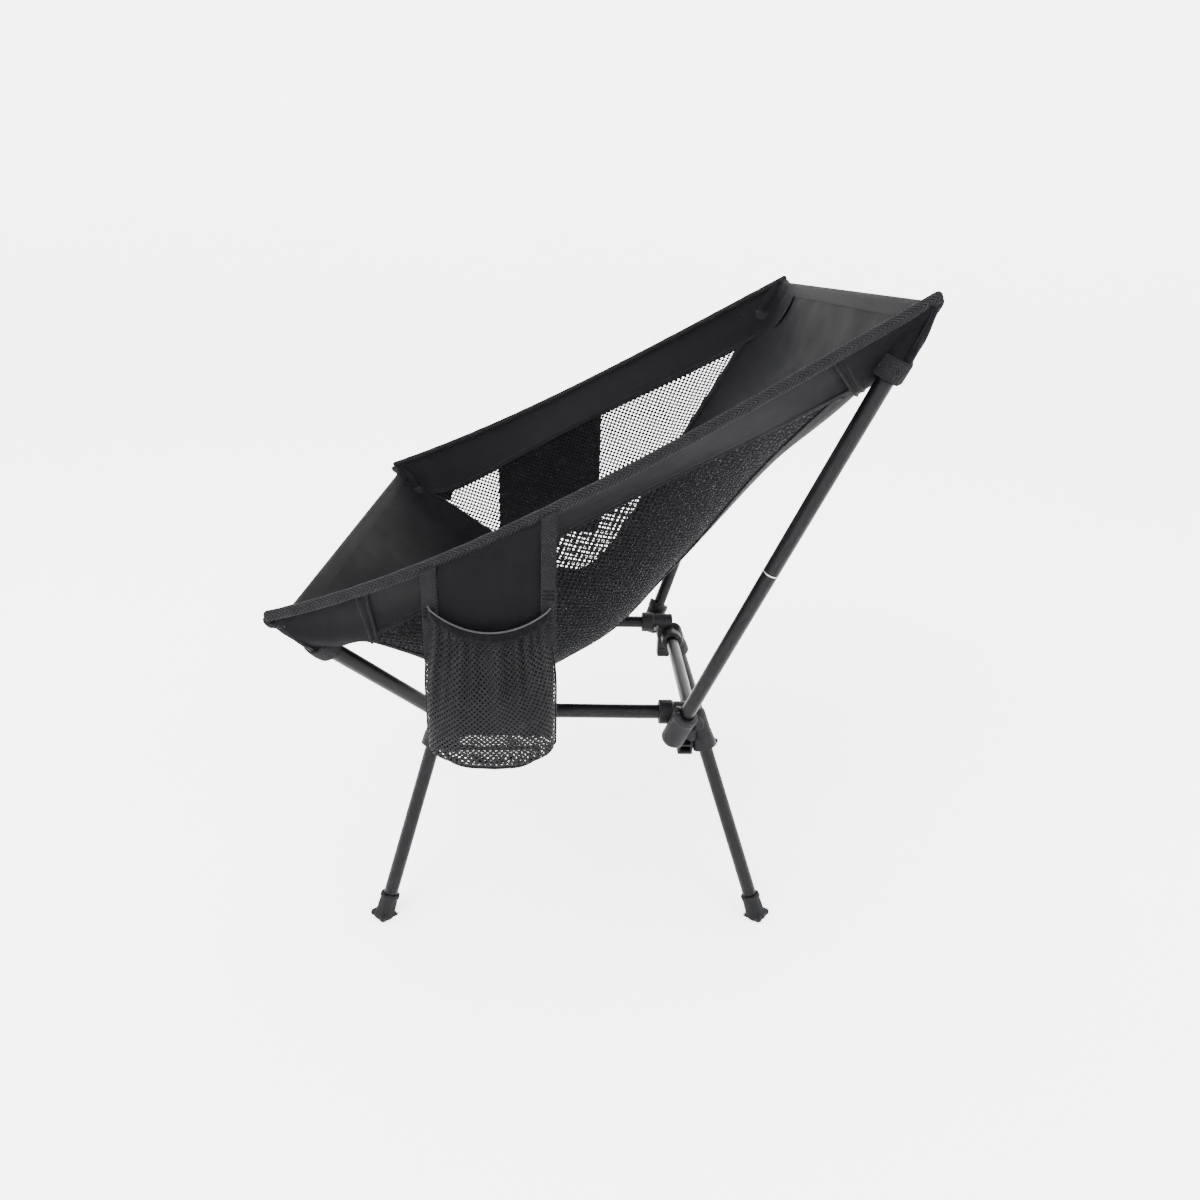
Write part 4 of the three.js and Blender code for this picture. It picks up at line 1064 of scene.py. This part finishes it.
def drink_pocket():
    y0, y1 = POCKET_Y
    middle, half = (y0 + y1) / 2, (y1 - y0) / 2
    panel_pts = hanging_strip(y0 + 0.8, y1 - 0.8, lambda y: np.full(y.shape, 284.0), POCKET_X - 0.8,
                              cols=40, rows=40, bulge=1.6)
    panel_pts[..., 0] += 0.5 * np.sin(panel_pts[..., 1] / 9) * np.sin(panel_pts[..., 2] / 17)
    back = Shape().grid(panel_pts, flip=True).make(
        "drink_pocket_panel", PANEL, "seat", slot="oxford_black", nodes=["pocket_panel"], crease=80)
    thicken(back, 1.0)
    declare_sheet(back)

    def rim_z(y):
        return POCKET_RIM_Z - POCKET_RIM_SAG * (1 - ((y - middle) / (half - 5)) ** 2)

    # The bag: a ring at each height, flat against the panel behind and gathered in front.
    heights, around = 70, 220
    theta = np.linspace(-math.pi / 2, 3 * math.pi / 2, around, endpoint=False)
    outward = np.cos(theta)  # 1 at the middle of the front
    across = np.sin(theta)
    is_front = outward > 0
    square = np.sign(across) * np.abs(across) ** 0.8
    rng = np.random.default_rng(7)
    fold_at = np.linspace(-0.86, 0.86, 11) + rng.uniform(-0.05, 0.05, 11)
    fold_size = rng.uniform(0.6, 1.25, 11)
    rows = []
    for g in np.linspace(0, 1, heights):
        swell = smoothstep(g, 0.0, 0.55)
        half_y = (half - 4.5) + 5.0 * swell - 13.0 * smoothstep(g, 0.90, 1.0) ** 1.6
        belly = 7.5 + 16.5 * smoothstep(g, 0.02, 0.7) - 7.0 * smoothstep(g, 0.92, 1.0) ** 1.5
        behind = 1.0 + 16.0 * smoothstep(g, 0.15, 0.75) - 6.0 * smoothstep(g, 0.92, 1.0) ** 1.5
        y = middle + square * half_y
        depth = np.where(is_front, belly, behind) * np.abs(outward) ** 0.62 * np.sign(outward)
        x = POCKET_X + 1.0 + depth
        shift = 0.10 * math.sin(3.1 * g + 0.4)
        folds = np.zeros(around)
        for k, (at, size) in enumerate(zip(fold_at, fold_size)):
            wide = 0.045 + 0.055 * g
            drift = at * (1 + 0.05 * g) + shift * (0.4 + 0.6 * math.sin(1.7 * k)) * g
            folds += size * np.exp(-(((across - drift) / wide) ** 2))
        fade = (1 - smoothstep(g, 0.22, 0.78)) * smoothstep(g, 0.0, 0.06) + 0.10
        x = x + np.where(is_front, 1, 0) * np.clip(outward * 3, 0, 1) * (folds - 0.45) * 4.6 * fade
        long_fold = np.sin(across * 5 + 4.2 * g + 0.8) * 1.5 * smoothstep(g, 0.25, 0.5)
        long_fold = long_fold * (1 - smoothstep(g, 0.8, 0.96))
        x = x + np.where(is_front, 1, 0) * np.clip(outward * 3, 0, 1) * long_fold
        z_top = np.where(is_front, rim_z(y) - 5.5 * np.clip(outward * 4, 0, 1), POCKET_RIM_Z - 8)
        z = z_top + (POCKET_BOTTOM_Z - z_top) * g
        z = z + 5.0 * smoothstep(g, 0.85, 1.0) * np.abs(across) ** 3
        rows.append(np.stack([x, y, z], axis=1))
    # The base closes the bag with a shallow sag.
    last = rows[-1]
    heart = last.mean(axis=0)
    for w, drop in ((0.93, 1.6), (0.8, 2.4), (0.6, 2.6), (0.4, 2.2), (0.2, 1.8), (0.03, 1.6)):
        rows.append(heart + (last - heart) * w + np.array([0, 0, -drop]))
    rows = np.array(rows)
    bag = Shape().grid(rows, ring=True, cap=(False, True), flip=True).make(
        "drink_pocket_bag", BAG_MESH, "seat", slot="mesh_black", nodes=["pocket_mesh_bag"], crease=80)
    declare_sheet(bag)

    # Elastic band and piping along the front of the mouth.
    y = np.linspace(y0 + 3.5, y1 - 3.5, 90)
    a = np.arcsin(np.clip((y - middle) / (half - 4.5), -1, 1))
    bow = 7.5 * np.abs(np.cos(a)) ** 0.62
    rim = np.stack([POCKET_X + 2.1 + bow, y, rim_z(y)], axis=1)
    ruffle = 0.5 * np.sin(y * 0.9) + 0.35 * np.sin(y * 0.41 + 1)
    lap = [(0.3, 0.2), (1.1, -0.4), (1.5 , -2.5), (1.3, -5.5), (0.9, -6.9), (0.0, -7.2),
           (-0.7, -6.4), (-0.9, -3.5), (-0.6, -0.6)]
    pts = np.array([rim + np.array([n, 0, h]) + np.outer(ruffle * min(1, -h / 5), (1, 0, 0))
                    for n, h in lap]).transpose(1, 0, 2)
    band = Shape().grid(pts, ring=True, cap=(True, True), flip=True)
    band.make("drink_pocket_elastic", ELASTIC, "seat", slot="webbing_black",
              nodes=["pocket_elastic_rim"], crease=60)
    cordlet = Shape().grid(sweep(rim + (0.4, 0, 0.6), round_section(0.65, 0.65, 12)), ring=True,
                           cap=(True, True))
    cordlet.make("drink_pocket_piping", PIPING, "seat", slot="webbing_black", crease=80)

    # Webbing straps over the sides, sewn on with bar tacks.
    for name, ya, low in (("front", y0 - 1.0, 352.0), ("back", y1 - STRAP_WIDTH + 1.0, 368.0)):
        pts = hanging_strip(ya, ya + STRAP_WIDTH, lambda y: np.full(y.shape, low), POCKET_X + 1.6,
                            cols=9, rows=60, wrap=1.0)
        pts[..., 0] += 0.5 * np.sin(pts[..., 2] / 11.0)
        pts[..., 0] += 0.7
        strap = Shape().grid(pts, flip=True).make(
            f"drink_pocket_strap_{name}", WEBBING, "seat", slot="webbing_black",
            nodes=[f"pocket_strap_{name}"], crease=80)
        thicken(strap, 1.5)
        for k in range(3):
            z = low + 38 + 3.2 * k
            yy = np.linspace(ya + 1.5, ya + STRAP_WIDTH - 1.5, 12)
            xs = np.interp(z, pts[::-1, 4, 2], pts[::-1, 4, 0]) + 0.9
            bar = np.stack([np.full(12, xs), yy, np.full(12, z) + 0.3 * np.sin(yy * 2)], axis=1)
            Shape().grid(sweep(bar, round_section(0.45, 0.7, 8)), ring=True, cap=(True, True)).make(
                f"bar_tack_{name}_{k}", SEAM, "seat", slot="webbing_black", crease=80)
    # A side seam tape runs down each side of the bag.
    for name, sign in (("front", -1), ("back", 1)):
        idx = int(np.argmin(np.abs(across - sign) + (outward < 0) * 0.5))
        line = rows[2:heights - 2, idx] + np.array([0.6, 0.8 * sign, 0])
        tape = Shape().grid(sweep(line, round_section(1.6, 0.8, 10), (0, sign, 0)), ring=True,
                            cap=(True, True))
        tape.make(f"bag_seam_{name}", WEBBING, "seat", slot="webbing_black", crease=80)
    hem = Shape().grid(sweep(np.concatenate([last, last[:1]]) + (0, 0, 0.2),
                             round_section(1.3, 1.6, 10)), ring=True)
    hem.make("bag_base_seam", WEBBING, "seat", slot="webbing_black", crease=80)


drink_pocket()


def stash_pocket():
    """A flat pocket of oxford cloth hung outside the right edge."""
    y0, y1 = STASH_Y
    pts = hanging_strip(y0, y1, lambda y: np.full(y.shape, 286.0), POCKET_X - 2.5, 56, 56, 2.5)
    back = Shape().grid(pts, flip=True).make(
        "stash_pocket_back", PANEL, "seat", True, "oxford_black", ["stash_pocket"], 80)
    declare_sheet(back)
    rows, cols = pts.shape[:2]
    first = int(rows * 0.42)
    front = pts[first:].copy()
    g = np.linspace(0, 1, len(front))[:, None]
    c = np.linspace(0, 1, cols)[None, :]
    puff = 7.0 * np.sin(np.pi * c) ** 0.7 * np.sin(np.pi * (0.12 + 0.88 * g) ** 0.8) + 0.7
    puff = puff + 0.8 * np.sin(9 * c + 3 * g) * np.sin(np.pi * c) * np.sin(np.pi * g)
    front[..., 0] += puff + 0.4
    obj = Shape().grid(front, flip=True).make(
        "stash_pocket_front", PANEL, "seat", True, "oxford_black", crease=80)
    thicken(obj, 0.9)
    declare_sheet(obj)
    outline = [("stash_pocket_mouth", front[0]), ("stash_pocket_hem_bottom", pts[-1]),
               ("stash_pocket_hem_front", pts[:, 0]), ("stash_pocket_hem_back", pts[:, -1])]
    for name, line in outline:
        section = round_section(1.2, 3.6, 14)
        hint = (1, 0, 0)
        Shape().grid(sweep(line + (0.8, 0, 0), section[:, ::-1], hint), ring=True,
                     cap=(True, True)).make(
            name, SEAM if "hem" in name else ELASTIC, "seat", True, "webbing_black", crease=80)


stash_pocket()

# ---------------------------------------------------------------- finishes of the carried-over CAD nodes
for name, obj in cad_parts.items():
    if "cord" in name:
        look = CORD
    elif "ferrule" in name:
        look = BARE
    else:
        continue
    obj.data.materials.clear()
    obj.data.materials.append(look)

# ---------------------------------------------------------------- floor and light
def backdrop():
    """A pale studio sweep: flat under the chair and curved up far away all round it."""
    k = Look("pale_sweep")
    cloud = k.noise(1.3, 3)
    k.set(color=k.mix(cloud, (0.90, 0.90, 0.90, 1), (0.93, 0.93, 0.93, 1)), rough=0.9,
          specular=0.1, normal=k.bump(k.noise(300, 3), 0.0002, 0.1))
    k.shader.inputs["Emission Color"].default_value = (1, 1, 1, 1)
    k.shader.inputs["Emission Strength"].default_value = 1.7
    rise = np.linspace(0, math.pi / 2, 13)
    profile = [(0.01, 0.0), (900.0, 0.0), (3800.0, 0.0)]
    profile += [(3800 + 1400 * math.sin(a), 1400 * (1 - math.cos(a))) for a in rise[1:]]
    profile += [(5200.0, 6500.0)]
    shape = Shape().lathe(profile, (0, 0, 0), (0, 0, 1), sides=96)
    verts = np.concatenate(shape.verts)
    mesh = bpy.data.meshes.new("pale_sweep")
    mesh.from_pydata((verts * MM).tolist(), [], shape.faces)
    mesh.materials.append(k.material)
    mesh.shade_smooth()
    obj = bpy.data.objects.new("pale_sweep", mesh)
    bpy.context.scene.collection.objects.link(obj)


backdrop()


def area_light(name, place, target, size, power, color=(1, 1, 1)):
    data = bpy.data.lights.new(name, "AREA")
    data.shape = "RECTANGLE"
    data.size, data.size_y = size
    data.energy = power
    data.color = color
    lamp = bpy.data.objects.new(name, data)
    lamp.location = place
    aim = Vector(target) - Vector(place)
    lamp.rotation_mode = "QUATERNION"
    lamp.rotation_quaternion = aim.to_track_quat("-Z", "Y")
    bpy.context.scene.collection.objects.link(lamp)


area_light("key", (1.6, -1.4, 2.4), (0, 0, 0.35), (1.6, 1.6), 120)
area_light("fill", (1.9, 1.7, 1.5), (0, 0, 0.35), (1.4, 1.4), 46)
area_light("top", (-0.4, 0, 2.9), (0, 0, 0.3), (2.4, 2.4), 75)

world = bpy.data.worlds.new("soft_studio")
world.use_nodes = True
world.node_tree.nodes["Background"].inputs[0].default_value = (1, 1, 1, 1)
world.node_tree.nodes["Background"].inputs[1].default_value = 0.9
bpy.context.scene.world = world

# ---------------------------------------------------------------- camera
CAMERA = np.array([856.4, -3.5, 647.3])  # from the middle of the base, as the other dimensions
PITCH, YAW, ROLL = math.radians(22.55), math.radians(2.40), math.radians(1.84)
look = np.array([-math.cos(PITCH) * math.cos(YAW), math.cos(PITCH) * math.sin(YAW), -math.sin(PITCH)])
right = unit(np.cross(look, (0, 0, 1)))
up = np.cross(right, look)
right, up = (math.cos(ROLL) * right + math.sin(ROLL) * up,
             -math.sin(ROLL) * right + math.cos(ROLL) * up)
camera_data = bpy.data.cameras.new("camera")
camera_data.sensor_width = 36
camera_data.lens = 24.9
camera_data.clip_start, camera_data.clip_end = 0.05, 60
camera = bpy.data.objects.new("camera", camera_data)
basis = Matrix([[*row] for row in np.stack([right, up, -look], axis=1)])
camera.matrix_world = Matrix.Translation(Vector((CAMERA + (0, SHIFT, 0)) * MM)) @ basis.to_4x4()
bpy.context.scene.collection.objects.link(camera)
bpy.context.scene.camera = camera
